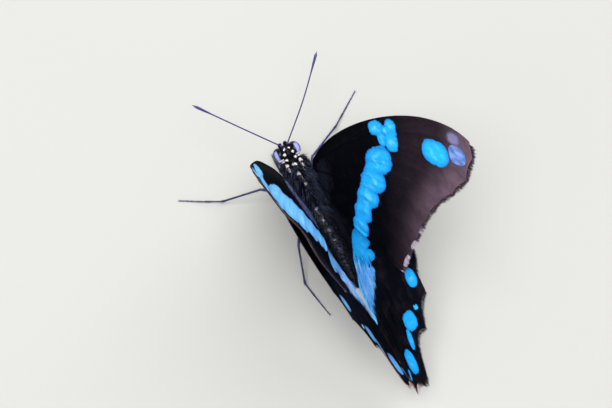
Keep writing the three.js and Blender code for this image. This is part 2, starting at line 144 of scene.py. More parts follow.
# Hip, knee, ankle and toe of each leg, on the floor's frame under the hinges.
LEGS = {
    "fore_left": ((0.8, -0.9, 4.75), (1.9, -4.6, 5.5), (1.5, -2.3, 1.7), (1.3, -5.4, 0.13)),
    "fore_right": ((-0.8, -0.9, 4.75), (-1.9, -4.6, 5.5), (-1.5, -2.3, 1.7), (-1.3, -5.4, 0.13)),
    "mid_left": ((1.35, 2.1, 4.4), (6.1, -0.7, 6.0), (12.0, -2.2, 1.5), (17.9, -5.5, 0.13)),
    "mid_right": ((-1.35, 2.1, 4.4), (-3.7, -1.85, 5.3), (-9.8, -4.9, 2.0), (-15.5, -8.8, 0.13)),
    "hind_left": ((1.35, 4.2, 4.2), (4.85, 9.9, 6.0), (6.15, 15.4, 1.5), (4.75, 21.5, 0.13)),
    "hind_right": ((-1.35, 4.2, 4.2), (-4.7, 9.5, 6.0), (-6.3, 15.0, 1.5), (-5.3, 21.0, 0.13)),
}
COXA = {"radius": 0.62, "end": 0.4, "length": 2.0, "inwards": 0.1, "forwards": -0.7}
THIGH = {"thick": 0.27, "taper": 0.08, "belly": 0.04}
KNEE = 0.19
SHIN = {"thick": 0.165, "flare": 0.03, "waist": 0.02}
SPUR = {"along": 0.5, "aside": 0.35, "down": 0.12, "thick": 0.05, "point": 0.012}
FOOT = {"thick": 0.115, "taper": 0.02, "flare": 0.028, "heel": 0.6, "heel_height": 0.24,
        "joints": (0.0, 0.42, 0.6, 0.74, 0.86, 1.0)}
# Points of a claw past the toe: along the foot, aside and up.
CLAW = {"line": ((0, 0, 0), (0.16, 0.1, 0.07), (0.33, 0.16, -0.03), (0.38, 0.15, -0.1)),
        "thick": 0.045, "point": 0.012}

# Each sort of tuft: how many on a square millimetre, length, width, lift in degrees, disorder and seed.
TUFT_SORTS = {
    "fringe": (220, 0.85, 0.11, 0, 0.12, 11),
    "wing": (46, 1.05, 0.055, 8, 0.1, 15),
    "head": (130, 0.38, 0.05, 24, 0.22, 21),
    "thorax": (62, 0.95, 0.055, 17, 0.2, 22),
    "abdomen": (62, 0.42, 0.09, 7, 0.1, 23),
    "long": (14, 1.9, 0.045, 16, 0.2, 24),
    "dots": (420, 0.32, 0.08, 24, 0.3, 25),
    "palp": (170, 0.42, 0.05, 22, 0.15, 31),
    "bristle": (26, 0.26, 0.03, 32, 0.15, 41),
}
# The coats' map: a strip left free at its edges, the share that the roots fill, and one tuft's own patch.
MAP_EDGE, MAP_SHARE, TUFT_PATCH = 0.02, 0.95, 0.003

# Spots and bands as blots: centre t and s, half length, half width, turn in degrees, paleness from 0 to 1.
FOREWING_BLOTS = (
    (16.4, 3.0, 8.3, 1.9, 70.5, 0.0),
    (20.0, 10.3, 4.0, 2.1, 33, 0.0), (18.5, 6.2, 3.7, 1.8, 27, 0.0), (16.9, 2.8, 3.3, 1.7, 27, 0.0),
    (15.4, -0.5, 2.6, 1.5, 18, 0.0), (14.7, -3.3, 2.3, 1.5, 12, 0.0),
    (19.3, 15.2, 2.1, 1.15, 22, 0.1), (20.9, 14.3, 1.2, 1.1, 0, 0.1), (23.3, 16.9, 1.6, 1.3, 20, 0.2),
    (23.5, 14.9, 1.8, 1.45, 20, 0.1), (21.9, 15.9, 1.0, 0.7, 0, 0.1),
    (34.5, 18.2, 3.3, 1.8, 14, 0.3), (39.6, 20.2, 1.95, 1.3, 14, 1.0),
)
HINDWING_BLOTS = (
    (7.2, -8.6, 3.0, 1.7, 41, 0.0), (3.3, -12.4, 4.8, 2.6, 50, 0.0),
    (6.4, -10.4, 2.5, 1.2, 10, 0.0), (6.2, -12.7, 2.5, 1.0, 10, 0.0), (4.4, -15.6, 2.4, 0.8, 24, 0.5),
    (2.7, -17.4, 2.0, 0.7, 30, 0.5), (0.6, -16.0, 5.6, 2.2, 66, 1.0), (-1.2, -20.3, 3.8, 0.75, 88, 1.0),
    (17.6, -16.9, 1.8, 1.4, 14, 0.3), (15.7, -21.4, 0.75, 0.42, 10, 0.3), (12.0, -23.5, 2.5, 1.5, 14, 0.15),
    (9.5, -26.5, 1.7, 0.95, 80, 0.3), (6.7, -30.1, 2.0, 1.7, 100, 0.0), (4.4, -32.3, 0.95, 0.35, 80, 0.3),
)
# The bands' colours. painted_grazing_glare is the pale grey of a painted glare of grazing light.
BAND = {"rim": "0088E0", "inside": "00B2FF", "streak": "5CD2FF", "scale": "A8E4FF", "painted_grazing_glare": "CBD9E0",
        "sheen": "20B0FF"}


# ------------------------------------------------------------------ shape helpers

def smooth(x, low, high):
    """0 below low, 1 above high and an even curve between them. The limits may vary from point to point."""
    share = np.clip((np.asarray(x, float) - low) / (high - low), 0, 1)
    return share * share * (3 - 2 * share)


# A direction that no piece runs along, from which the corners of a ring are counted.
ASLANT = (0.31, 0.17, 0.93)


def unit(v):
    v = np.asarray(v, float)
    return v / np.maximum(np.linalg.norm(v, axis=-1, keepdims=True), 1e-12)


def turn(axis, degrees):
    return np.array(Matrix.Rotation(math.radians(degrees), 3, axis))


BODY = turn("X", -BODY_PITCH)


def on_floor(points):
    """Points of the body frame, on the floor's frame."""
    return np.asarray(points, float) @ BODY.T + HINGES


def in_body(points):
    """Points of the floor's frame, in the body frame."""
    return (np.asarray(points, float) - HINGES) @ BODY


def under_hinges(point):
    return np.asarray(point, float) + (HINGES[0], HINGES[1], 0)


def mesh_of(name, points, faces, looks=(), smooth_faces=True):
    """A mesh from points in millimetres and one or more arrays of faces with the same number of corners."""
    groups = [np.asarray(g, np.int32) for g in (faces if isinstance(faces, (list, tuple)) else [faces])]
    mesh = bpy.data.meshes.new(name)
    corners = np.concatenate([g.ravel() for g in groups])
    totals = np.concatenate([np.full(len(g), g.shape[1], np.int32) for g in groups])
    mesh.vertices.add(len(points))
    mesh.vertices.foreach_set("co", (np.asarray(points, float) * MM).astype(np.float32).ravel())
    mesh.loops.add(len(corners))
    mesh.loops.foreach_set("vertex_index", corners)
    mesh.polygons.add(len(totals))
    mesh.polygons.foreach_set("loop_start", np.concatenate(([0], np.cumsum(totals)[:-1])).astype(np.int32))
    mesh.polygons.foreach_set("loop_total", totals)
    for look in looks:
        mesh.materials.append(look)
    mesh.update(calc_edges=True)
    mesh.validate()
    mesh.polygons.foreach_set("use_smooth", np.full(len(mesh.polygons), smooth_faces))
    return mesh


def hold(mesh, name, values):
    """Stores an attribute on the mesh's points: one number each, or three."""
    values = np.asarray(values, np.float32)
    kind, key = ("FLOAT", "value") if values.ndim == 1 else ("FLOAT_VECTOR", "vector")
    mesh.attributes.new(name, kind, "POINT").data.foreach_set(key, values.ravel())


def hold_unwrap(mesh, around, along):
    """Stores each corner's place on a map of the surface. around may pass 1: the tufts keep its fraction."""
    corners = np.empty(len(mesh.loops), np.int32)
    starts, totals = np.empty(len(mesh.polygons), np.int32), np.empty(len(mesh.polygons), np.int32)
    mesh.loops.foreach_get("vertex_index", corners)
    mesh.polygons.foreach_get("loop_start", starts)
    mesh.polygons.foreach_get("loop_total", totals)
    turned = around[corners]
    furthest = np.repeat(np.maximum.reduceat(turned, starts), totals)
    turned = np.where(furthest - turned > 0.5, turned + 1, turned)
    upwards = MAP_EDGE + (1 - 2 * MAP_EDGE) * along[corners]
    places = np.stack([turned, upwards, 0 * turned], -1).astype(np.float32)
    mesh.attributes.new("unwrap", "FLOAT_VECTOR", "CORNER").data.foreach_set("vector", places.ravel())


def unwrap_round(mesh, points, line):
    """The map of a long piece: how far along its middle line each point lies, and where round it."""
    steps = np.diff(line, axis=0)
    lengths = np.linalg.norm(steps, axis=1)
    nearest, along, around = np.full(len(points), 1e9), np.zeros(len(points)), np.zeros(len(points))
    for start, step, length, before in zip(line[:-1], steps, lengths, np.cumsum(lengths) - lengths):
        share = np.clip((points - start) @ step / length**2, 0, 1)
        away = points - start - share[:, None] * step
        first = unit(np.cross(step, ASLANT))
        second = np.cross(step / length, first)
        gap = np.linalg.norm(away, axis=1)
        closer = gap < nearest
        nearest = np.where(closer, gap, nearest)
        along = np.where(closer, (before + share * length) / lengths.sum(), along)
        around = np.where(closer, np.arctan2(away @ second, away @ first) / (2 * np.pi) + 0.5, around)
    hold_unwrap(mesh, around, along)


def hold_painted_sheen(mesh):
    """Holds how far each point faces upwards, for the painted sheen of bare chitin."""
    normals = np.empty(len(mesh.vertices) * 3, np.float32)
    mesh.vertex_normals.foreach_get("vector", normals)
    hold(mesh, "painted_sheen", normals.reshape(-1, 3)[:, 2])
    return mesh


def closed_rings(rows, sides):
    """Faces over rows of rings, whose points are followed by the two that close the ends."""
    ring, step = np.arange(sides), (np.arange(sides) + 1) % sides
    quads = np.concatenate([
        np.stack([i * sides + ring, (i + 1) * sides + ring, (i + 1) * sides + step, i * sides + step], 1)
        for i in range(rows - 1)])
    last, first_end, last_end = (rows - 1) * sides, rows * sides, rows * sides + 1
    ends = np.concatenate([np.stack([ring, step, np.full(sides, first_end)], 1),
                           np.stack([last + step, last + ring, np.full(sides, last_end)], 1)])
    return quads, ends


def grid_faces(rows, columns):
    """Faces over a grid of points, with one row and one column of points more than of faces."""
    width = columns + 1
    corner = (np.arange(rows)[:, None] * width + np.arange(columns)[None, :]).ravel()
    return np.stack([corner, corner + width, corner + width + 1, corner + 1], 1)


def piece(name, mesh, replaces=()):
    made = bpy.data.objects.new(name, mesh)
    bpy.context.scene.collection.objects.link(made)
    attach(made, "root")
    if replaces:
        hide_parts(*replaces)
    return made


class Shape:
    """Closed pieces gathered into one mesh."""

    def __init__(self):
        self.points, self.quads, self.triangles, self.count = [], [], [], 0

    def add(self, points, quads=(), triangles=()):
        self.points.append(np.asarray(points, float))
        for faces, kept in ((quads, self.quads), (triangles, self.triangles)):
            if len(faces):
                kept.append(np.asarray(faces) + self.count)
        self.count += len(points)

    def mesh(self, name, looks, smooth_faces=True):
        groups = [np.concatenate(g) for g in (self.quads, self.triangles) if g]
        return mesh_of(name, np.concatenate(self.points), groups, looks, smooth_faces)

    def tube(self, path, radii, sides=12):
        """A round tube along a path, closed at both ends. radii is one number or one for each point."""
        path = np.asarray(path, float)
        radii = np.broadcast_to(np.asarray(radii, float), len(path))
        along = unit(np.gradient(path, axis=0))
        across = unit(np.cross(along[0], ASLANT))
        angles = 2 * np.pi * np.arange(sides) / sides
        points = []
        for centre, radius, way in zip(path, radii, along):
            across = unit(across - way * np.dot(across, way))
            other = np.cross(way, across)
            round_it = np.cos(angles)[:, None] * across + np.sin(angles)[:, None] * other
            points.append(centre + radius * round_it)
        quads, ends = closed_rings(len(path), sides)
        # These rings run the other way round, so each face is turned over, from the same corner.
        self.add(np.concatenate(points + [path[:1], path[-1:]]), quads[:, [0, 3, 2, 1]], ends[:, [1, 0, 2]])

    def ball(self, at, half, across=24, down=16):
        """An ellipsoid."""
        lat = np.pi * np.arange(1, down) / down
        lon = 2 * np.pi * np.arange(across) / across
        rings = np.stack([np.outer(np.sin(lat), np.cos(lon)), np.outer(np.sin(lat), np.sin(lon)),
                          np.outer(np.cos(lat), np.ones(across))], -1).reshape(-1, 3)
        points = np.concatenate([rings, [(0, 0, 1)], [(0, 0, -1)]]) * half + at
        self.add(points, *closed_rings(down - 1, across))


def curve_through(points, count):
    """A smooth line through a few points."""
    points = np.asarray(points, float)
    reach = np.concatenate(([0], np.cumsum(np.linalg.norm(np.diff(points, axis=0), axis=1))))
    slopes = np.gradient(points, reach, axis=0)
    at = np.linspace(0, reach[-1], count)
    i = np.clip(np.searchsorted(reach, at, "right") - 1, 0, len(points) - 2)
    span = (reach[i + 1] - reach[i])[:, None]
    u = (at - reach[i])[:, None] / span
    return ((2 * u**3 - 3 * u**2 + 1) * points[i] + (u**3 - 2 * u**2 + u) * span * slopes[i]
            + (3 * u**2 - 2 * u**3) * points[i + 1] + (u**3 - u**2) * span * slopes[i + 1])


# ------------------------------------------------------------------ shader helpers

def put(tree, kind, settings=None, inputs=None, output=0):
    """Adds a node, sets or links its inputs, and returns one of its outputs."""
    made = tree.nodes.new(kind)
    for key, value in (settings or {}).items():
        setattr(made, key, value)
    for key, value in (inputs or {}).items():
        if isinstance(value, bpy.types.NodeSocket):
            tree.links.new(value, made.inputs[key])
        else:
            made.inputs[key].default_value = value
    return made.outputs[output]


def calc(tree, way, a, b=0.0, c=0.0):
    return put(tree, "ShaderNodeMath", {"operation": way}, {0: a, 1: b, 2: c})


def vector(tree, way, a, b=(0.0, 0.0, 0.0)):
    return put(tree, "ShaderNodeVectorMath", {"operation": way}, {0: a, 1: b})


def scaled(tree, a, by):
    return put(tree, "ShaderNodeVectorMath", {"operation": "SCALE"}, {0: a, "Scale": by})


def dot(tree, a, b):
    return put(tree, "ShaderNodeVectorMath", {"operation": "DOT_PRODUCT"}, {0: a, 1: b}, "Value")


def ramp(tree, value, low, high, out_low=0.0, out_high=1.0):
    return put(tree, "ShaderNodeMapRange", {"interpolation_type": "SMOOTHSTEP"},
               {"Value": value, 1: low, 2: high, 3: out_low, 4: out_high})


def tint(tree, share, a, b, way="MIX"):
    settings = {"data_type": "RGBA", "blend_type": way}
    return put(tree, "ShaderNodeMix", settings, {0: share, 6: a, 7: b}, output=2)


def noise(tree, place, scale, detail=2.0, rough=0.5, output=0):
    inputs = {"Vector": place, "Scale": scale, "Detail": detail, "Roughness": rough}
    return put(tree, "ShaderNodeTexNoise", {}, inputs, output)


def attribute(tree, name, output="Vector"):
    return put(tree, "ShaderNodeAttribute", {"attribute_name": name}, output=output)


def place_on_object(tree):
    return put(tree, "ShaderNodeTexCoord", output="Object")


def bump(tree, height, strength, distance_mm):
    inputs = {"Height": height, "Strength": strength, "Distance": distance_mm * MM}
    return put(tree, "ShaderNodeBump", {}, inputs)


def rgb(code):
    """A colour written as six hex digits, in linear light."""
    shares = [int(code[i:i + 2], 16) / 255 for i in (0, 2, 4)]
    return tuple(c / 12.92 if c <= 0.04045 else ((c + 0.055) / 1.055) ** 2.4 for c in shares) + (1.0,)


def look(name, paint, **fixed):
    """A material. paint(tree) returns the sockets that vary; fixed holds the constant values."""
    made = bpy.data.materials.new(name)
    made.use_nodes = True
    tree = made.node_tree
    shader = tree.nodes["Principled BSDF"]
    for key, value in fixed.items():
        shader.inputs[key.replace("_", " ").title().replace("Ior", "IOR")].default_value = value
    for key, value in paint(tree).items():
        if isinstance(value, bpy.types.NodeSocket):
            tree.links.new(value, shader.inputs[key])
        else:
            shader.inputs[key].default_value = value
    return made


def group(name, inputs, outputs, make):
    """A shader node group. inputs and outputs are (name, kind) pairs, and make() returns the outputs."""
    tree = bpy.data.node_groups.new(name, "ShaderNodeTree")
    for way, sockets in (("INPUT", inputs), ("OUTPUT", outputs)):
        for label, kind in sockets:
            tree.interface.new_socket(label, in_out=way, socket_type="NodeSocket" + kind)
    source, sink = tree.nodes.new("NodeGroupInput"), tree.nodes.new("NodeGroupOutput")
    for label, value in make(tree, source.outputs).items():
        tree.links.new(value, sink.inputs[label])
    return tree


def use(tree, made, inputs, output=0):
    return put(tree, "ShaderNodeGroup", {"node_tree": made}, inputs, output)


def blot_depth(tree, source):
    """How deep a place lies inside a rounded blot: below 0 outside it, 1 at its centre."""
    away = vector(tree, "SUBTRACT", source["Place"], source["Centre"])
    turned = put(tree, "ShaderNodeVectorRotate", {"rotation_type": "Z_AXIS"},
                 {"Vector": away, "Angle": source["Turn"]})
    shares = vector(tree, "ABSOLUTE", vector(tree, "DIVIDE", turned, source["Reach"]))
    parts = tree.nodes.new("ShaderNodeSeparateXYZ")
    tree.links.new(shares, parts.inputs[0])
    squareness = 2.5
    total = calc(tree, "ADD", *(calc(tree, "POWER", part, squareness) for part in parts.outputs[:2]))
    return {"Depth": calc(tree, "SUBTRACT", 1.0, calc(tree, "POWER", total, 1 / squareness))}


BLOT = group("Blot", (("Place", "Vector"), ("Centre", "Vector"), ("Reach", "Vector"), ("Turn", "Float")),
             (("Depth", "Float"),), blot_depth)


def deepest_blot(tree, place, blots, blend=0.2):
    """How deep a place lies inside the nearest of the blots: below 0 outside them, 1 at a centre."""
    depth = None
    for t, s, length, width, angle in blots:
        one = use(tree, BLOT, {"Place": place, "Centre": (t, s, 0), "Reach": (length, width, 1),
                               "Turn": -math.radians(angle)})
        depth = one if depth is None else calc(tree, "SMOOTH_MAX", depth, one, blend)
    return depth


def scale_rows(tree, source):
    """Overlapping scales in rows across the wing: their height, and a tone that differs between them."""
    scales_per_mm = (7.0, 11.0, 0.0)
    place = vector(tree, "MULTIPLY", source["Place"], scales_per_mm)
    cells = put(tree, "ShaderNodeTexVoronoi", {"voronoi_dimensions": "2D", "feature": "F1"},
                {"Vector": place, "Scale": 1.0, "Randomness": 0.7}).node.outputs
    level = put(tree, "ShaderNodeSeparateXYZ", {}, {0: cells["Color"]})
    return {"Height": calc(tree, "SUBTRACT", 1.0, cells["Distance"]), "Tone": level}


SCALE_ROWS = group("Scale rows", (("Place", "Vector"),), (("Height", "Float"), ("Tone", "Float")), scale_rows)


def ragged_place(tree, source):
    """A place moved a little by noise, so that an edge is ragged from scale to scale."""
    off = noise(tree, source["Place"], source["Scale"], 3.0, 0.6, output=1)
    off = vector(tree, "SUBTRACT", off, (0.5, 0.5, 0.5))
    return {"Moved": vector(tree, "ADD", source["Place"], scaled(tree, off, source["Amount"]))}


RAGGED = group("Ragged edge", (("Place", "Vector"), ("Amount", "Float"), ("Scale", "Float")),
               (("Moved", "Vector"),), ragged_place)


def shaken(tree, place, amount, scale):
    return use(tree, RAGGED, {"Place": place, "Amount": amount, "Scale": scale})


def band_colour(tree, source):
    """Band blue: deep at the rim, bright inside, with painted highlight streaks, or the two faint colours."""
    depth, streak = source["Depth"], source["Streak"]
    inside = ramp(tree, depth, 0.02, 0.34)
    blue = tint(tree, inside, rgb(BAND["rim"]), rgb(BAND["inside"]))
    # Painted highlights: light streaks along the inside of the bands.
    light = calc(tree, "MULTIPLY", ramp(tree, depth, 0.25, 0.8), ramp(tree, streak, 0.46, 0.64))
    blue = tint(tree, light, blue, rgb(BAND["streak"]))
    weak = tint(tree, ramp(tree, streak, 0.35, 0.65), source["Faint dark"], source["Faint light"])
    colour = tint(tree, source["Pale"], blue, weak)
    colour = tint(tree, calc(tree, "MULTIPLY", source["Tone"], 0.1), colour, rgb(BAND["scale"]))
    # Painted glare: the band is greyed as grazing light would pale it.
    return {"Colour": tint(tree, source["Painted grazing glare"], colour, rgb(BAND["painted_grazing_glare"]))}


BAND_COLOUR = group(
    "Band colour",
    (("Depth", "Float"), ("Pale", "Float"), ("Tone", "Float"), ("Streak", "Float"), ("Painted grazing glare", "Float"),
     ("Faint dark", "Color"), ("Faint light", "Color")),
    (("Colour", "Color"),), band_colour)


def wing_upper(name, blots, ground, faint, painted_grazing_glare, sheen):
    """The upper side of a wing. ground() paints what the bands leave; painted_grazing_glare greys the bands.
    """
    def paint(tree):
        place = attribute(tree, "blade")
        rows = put(tree, "ShaderNodeGroup", {"node_tree": SCALE_ROWS}, {"Place": place}).node
        height, tone = rows.outputs["Height"], rows.outputs["Tone"]
        ragged = shaken(tree, shaken(tree, place, 0.55, 1.1), 0.3, 4.5)
        strong = [b[:5] for b in blots if b[5] < 0.5]
        slight = [b[:5] for b in blots if b[5] >= 0.5]
        depth = deepest_blot(tree, ragged, strong)
        weak = deepest_blot(tree, ragged, slight)
        streak = noise(tree, vector(tree, "MULTIPLY", place, (0.5, 1.1, 0.0)), 1.0, 3.0, 0.55)
        both = calc(tree, "MAXIMUM", depth, weak)
        pale = calc(tree, "MULTIPLY", ramp(tree, calc(tree, "SUBTRACT", weak, depth), -0.1, 0.25), 0.9)
        mask = ramp(tree, both, -0.03, 0.05)
        vein = attribute(tree, "vein", "Fac")
        blue = use(tree, BAND_COLOUR, {
            "Depth": both, "Pale": pale, "Tone": tone, "Streak": streak, "Painted grazing glare": painted_grazing_glare,
            "Faint dark": rgb(faint[0]), "Faint light": rgb(faint[1])})
        base = tint(tree, mask, ground(tree, place, tone), blue)
        base = tint(tree, calc(tree, "MULTIPLY", vein, 0.12), base, rgb("05060C"))
        rough = calc(tree, "ADD", ramp(tree, mask, 0.0, 1.0, 0.72, 0.55), calc(tree, "MULTIPLY", tone, 0.12))
        painted = {"Base Color": base, "Roughness": rough, "Normal": bump(tree, height, 0.35, 0.03)}
        if sheen:
            # A mask drives this sheen, and the export leaves such a sheen out.
            painted.update({"Sheen Weight": mask, "Sheen Tint": rgb(BAND["sheen"])})
        return painted
    return look(name, paint, specular_ior_level=0.02, sheen_roughness=0.5)


def forewing_ground(tree, place, tone):
    """Blue-black at the root, to a purplish brown, partly painted sheen, towards the tip and outer margin."""
    far = ramp(tree, dot(tree, place, (1.0, 0.1, 0.0)), 18.0, 36.0)
    cloud = noise(tree, place, 0.35, 3.0, 0.6)
    far = calc(tree, "ADD", far, calc(tree, "MULTIPLY", calc(tree, "SUBTRACT", cloud, 0.5), 0.5))
    dark = tint(tree, tone, rgb("020305"), rgb("06070E"))
    # The wing's own brown with a painted sheen of grazing light, towards the tip.
    brown_and_painted_sheen = tint(tree, tone, rgb("20171E"), rgb("31262E"))
    edge = put(tree, "ShaderNodeSeparateXYZ", {}, {0: attribute(tree, "span")})
    outer = ramp(tree, dot(tree, place, (1.0, 0.3, 0.0)), 22.0, 44.0)
    # Painted sheen as well: a paler purplish brown along the outer margin.
    rim = calc(tree, "MULTIPLY", ramp(tree, edge, 0.8, 0.99), outer)
    rim = calc(tree, "MULTIPLY", rim, ramp(tree, cloud, 0.25, 0.65, 0.55, 1.0))
    smudge = use(tree, BLOT, {"Place": shaken(tree, place, 0.5, 1.2), "Centre": (38.6, 22.15, 0),
                              "Reach": (1.6, 0.85, 1), "Turn": -0.2})
    brown = tint(tree, rim, tint(tree, far, dark, brown_and_painted_sheen), rgb("6B5663"))
    return tint(tree, ramp(tree, smudge, -0.1, 0.5, 0.0, 0.7), brown, rgb("8A86B8"))


def hindwing_ground(tree, place, tone):
    cloud = noise(tree, place, 0.4, 3.0, 0.6)
    dark = tint(tree, tone, rgb("08080E"), rgb("12121C"))
    brown = tint(tree, tone, rgb("1C171E"), rgb("2A232B"))
    return tint(tree, ramp(tree, cloud, 0.45, 0.75), dark, brown)


def wing_under(name, streaks):
    """The underside: dark brown, with pale marks in a row inside the outer margin."""
    def paint(tree):
        place, span = attribute(tree, "blade"), attribute(tree, "span")
        rows = put(tree, "ShaderNodeGroup", {"node_tree": SCALE_ROWS}, {"Place": place}).node
        tone = rows.outputs["Tone"]
        cloud = noise(tree, place, 0.3, 3.0, 0.6)
        ground = tint(tree, cloud, tint(tree, tone, rgb("120D0C"), rgb("1F1815")),
                      tint(tree, tone, rgb("2A1F1B"), rgb("3A2C25")))
        mask = ramp(tree, deepest_blot(tree, shaken(tree, place, 0.4, 2.0), streaks), -0.05, 0.1)
        silver = tint(tree, tone, rgb("8C8172"), rgb("C9BFA9"))
        base = tint(tree, mask, ground, silver)
        base = tint(tree, calc(tree, "MULTIPLY", attribute(tree, "vein", "Fac"), 0.5), base, rgb("0B0807"))
        edge = put(tree, "ShaderNodeSeparateXYZ", {}, {0: span})
        base = tint(tree, calc(tree, "MULTIPLY", ramp(tree, edge, 0.93, 1.0), 0.5), base, rgb("0D0A0B"))
        return {"Base Color": base, "Roughness": calc(tree, "ADD", 0.5, calc(tree, "MULTIPLY", tone, 0.2)),
                "Normal": bump(tree, rows.outputs["Height"], 0.35, 0.03)}
    return look(name, paint, specular_ior_level=0.12)


def tuft_colour(tree, source):
    """Hair or scales, each tuft lighter or darker, and turned to a second colour where Dots is full."""
    near = noise(tree, source["Place"], 2600.0, 2.0)
    each = noise(tree, vector(tree, "MULTIPLY", source["Patch"], source["Grain"]), 1.0, 1.0)
    rest = calc(tree, "SUBTRACT", 1.0, source["Mottle"])
    shade = calc(tree, "MULTIPLY", near, source["Mottle"])
    shade = ramp(tree, calc(tree, "ADD", shade, calc(tree, "MULTIPLY", each, rest)), 0.4, 0.62)
    base = tint(tree, shade, source["Dark"], source["Light"])
    second = tint(tree, shade, source["Dot dark"], source["Dot light"])
    return {"Colour": tint(tree, ramp(tree, source["Dots"], 0.35, 0.6), base, second)}


TUFT_COLOUR = group(
    "Tuft colour",
    (("Place", "Vector"), ("Patch", "Vector"), ("Grain", "Vector"), ("Mottle", "Float"), ("Dots", "Float"),
     ("Dark", "Color"), ("Light", "Color"), ("Dot dark", "Color"), ("Dot light", "Color")),
    (("Colour", "Color"),), tuft_colour)


def hair_look(name, dark, light, dot_dark, dot_light, gloss=0.12, grain=(420, 420, 0), mottle=0.5):
    """A coat's material. grain is how finely the tone changes over the coat's map, and mottle how much of
    the tone comes from the place in space instead."""
    def paint(tree):
        colour = use(tree, TUFT_COLOUR, {
            "Place": place_on_object(tree), "Patch": attribute(tree, "OFBake"), "Grain": grain,
            "Mottle": mottle, "Dots": attribute(tree, "dots", "Fac"), "Dark": rgb(dark), "Light": rgb(light),
            "Dot dark": rgb(dot_dark), "Dot light": rgb(dot_light)})
        return {"Base Color": colour}
    return look(name, paint, roughness=0.55, specular_ior_level=gloss)


def skin_paint(tree):
    """The skin under the coat, with pale dots and glossy bare patches on the abdomen, blue as a painted
    glint.
    """
    place = place_on_object(tree)
    cloud = noise(tree, place, 1800.0, 4.0, 0.6)
    base = tint(tree, cloud, rgb("07070B"), rgb("14141C"))
    base = tint(tree, ramp(tree, attribute(tree, "dots", "Fac"), 0.35, 0.6), base, rgb("E6E8F0"))
    # Painted glint: the bare patches are tinted blue.
    base = tint(tree, calc(tree, "MULTIPLY", attribute(tree, "gloss", "Fac"), 0.5), base, rgb("2C4684"))
    shine = calc(tree, "MULTIPLY", attribute(tree, "gloss", "Fac"), 0.35)
    rough = calc(tree, "SUBTRACT", ramp(tree, cloud, 0.3, 0.7, 0.48, 0.68), shine)
    return {"Base Color": base, "Roughness": rough,
            "Normal": bump(tree, noise(tree, place, 9000.0, 3.0), 0.6, 0.05)}


def eye_paint(tree):
    """A dark eye of small facets, with a painted reflection as a bright patch, and a pale rim."""
    place = place_on_object(tree)
    facets = put(tree, "ShaderNodeTexVoronoi", {"feature": "F1"},
                 {"Vector": place, "Scale": 26000.0, "Randomness": 0.15}, output="Distance")
    cloud = calc(tree, "MULTIPLY", noise(tree, place, 900.0, 2.0), 0.3)
    bright = calc(tree, "SUBTRACT", attribute(tree, "painted_sheen", "Fac"), cloud)
    # Painted reflection: lavender where the painted_sheen mask is full.
    base = tint(tree, bright, rgb("050409"), rgb("8E94D4"))
    base = tint(tree, attribute(tree, "rim", "Fac"), base, rgb("D8CCD8"))
    return {"Base Color": base, "Normal": bump(tree, calc(tree, "SUBTRACT", 1.0, facets), 0.35, 0.012)}


def chitin_paint(tree):
    """The bare black of the feelers, legs and feeding tube, with a painted violet sheen where it faces
    upwards.
    """
    place = place_on_object(tree)
    cloud = noise(tree, place, 2500.0, 3.0, 0.6)
    base = tint(tree, cloud, rgb("08080E"), rgb("14142A"))
    # Painted sheen: bluer violet where the chitin faces the sky.
    base = tint(tree, ramp(tree, attribute(tree, "painted_sheen", "Fac"), 0.25, 0.95, 0.0, 0.85), base, rgb("26226A"))
    return {"Base Color": base, "Roughness": ramp(tree, cloud, 0.3, 0.7, 0.28, 0.5),
            "Normal": bump(tree, noise(tree, place, 14000.0, 2.0), 0.4, 0.02)}


# Pale marks of the undersides, as centre, half length, half width and turn.
FOREWING_UNDER = ((27.6, 1.3, 1.3, 0.45, 60), (29.4, 4.2, 1.2, 0.4, 55), (31.3, 8.0, 1.2, 0.35, 50),
                  (25.9, -2.2, 1.4, 0.5, 65), (34.5, 18.2, 2.6, 1.1, 14))
HINDWING_UNDER = ((18.6, -13.6, 1.7, 0.5, 75), (18.0, -17.3, 1.7, 0.5, 62), (15.0, -21.2, 2.2, 0.5, 50),
                  (10.9, -25.6, 2.2, 0.5, 52), (7.2, -29.6, 2.2, 0.55, 62), (3.9, -32.2, 1.6, 0.5, 45),
                  (1.4, -29.8, 1.4, 0.45, 70))


def wing_uppers():
    """The upper side of each wing. Painted glare greys the left bands; the shaded right hindwing's has a
    sheen.
    """
    made = {}
    for kind, blots, ground, faint in (
        ("forewing", FOREWING_BLOTS, forewing_ground, ("5766AE", "8A9CDC")),
        ("hindwing", HINDWING_BLOTS, hindwing_ground, ("10A0FA", "8CDCFF")),
    ):
        for name, painted_grazing_glare in (("left", 0.27), ("right", 0.0)):
            sheen = kind == "hindwing" and name == "right"
            label = f"{name} {kind} upper side"
            made[f"{kind}_{name}_upper"] = wing_upper(label, blots, ground, faint, painted_grazing_glare, sheen)
    return made


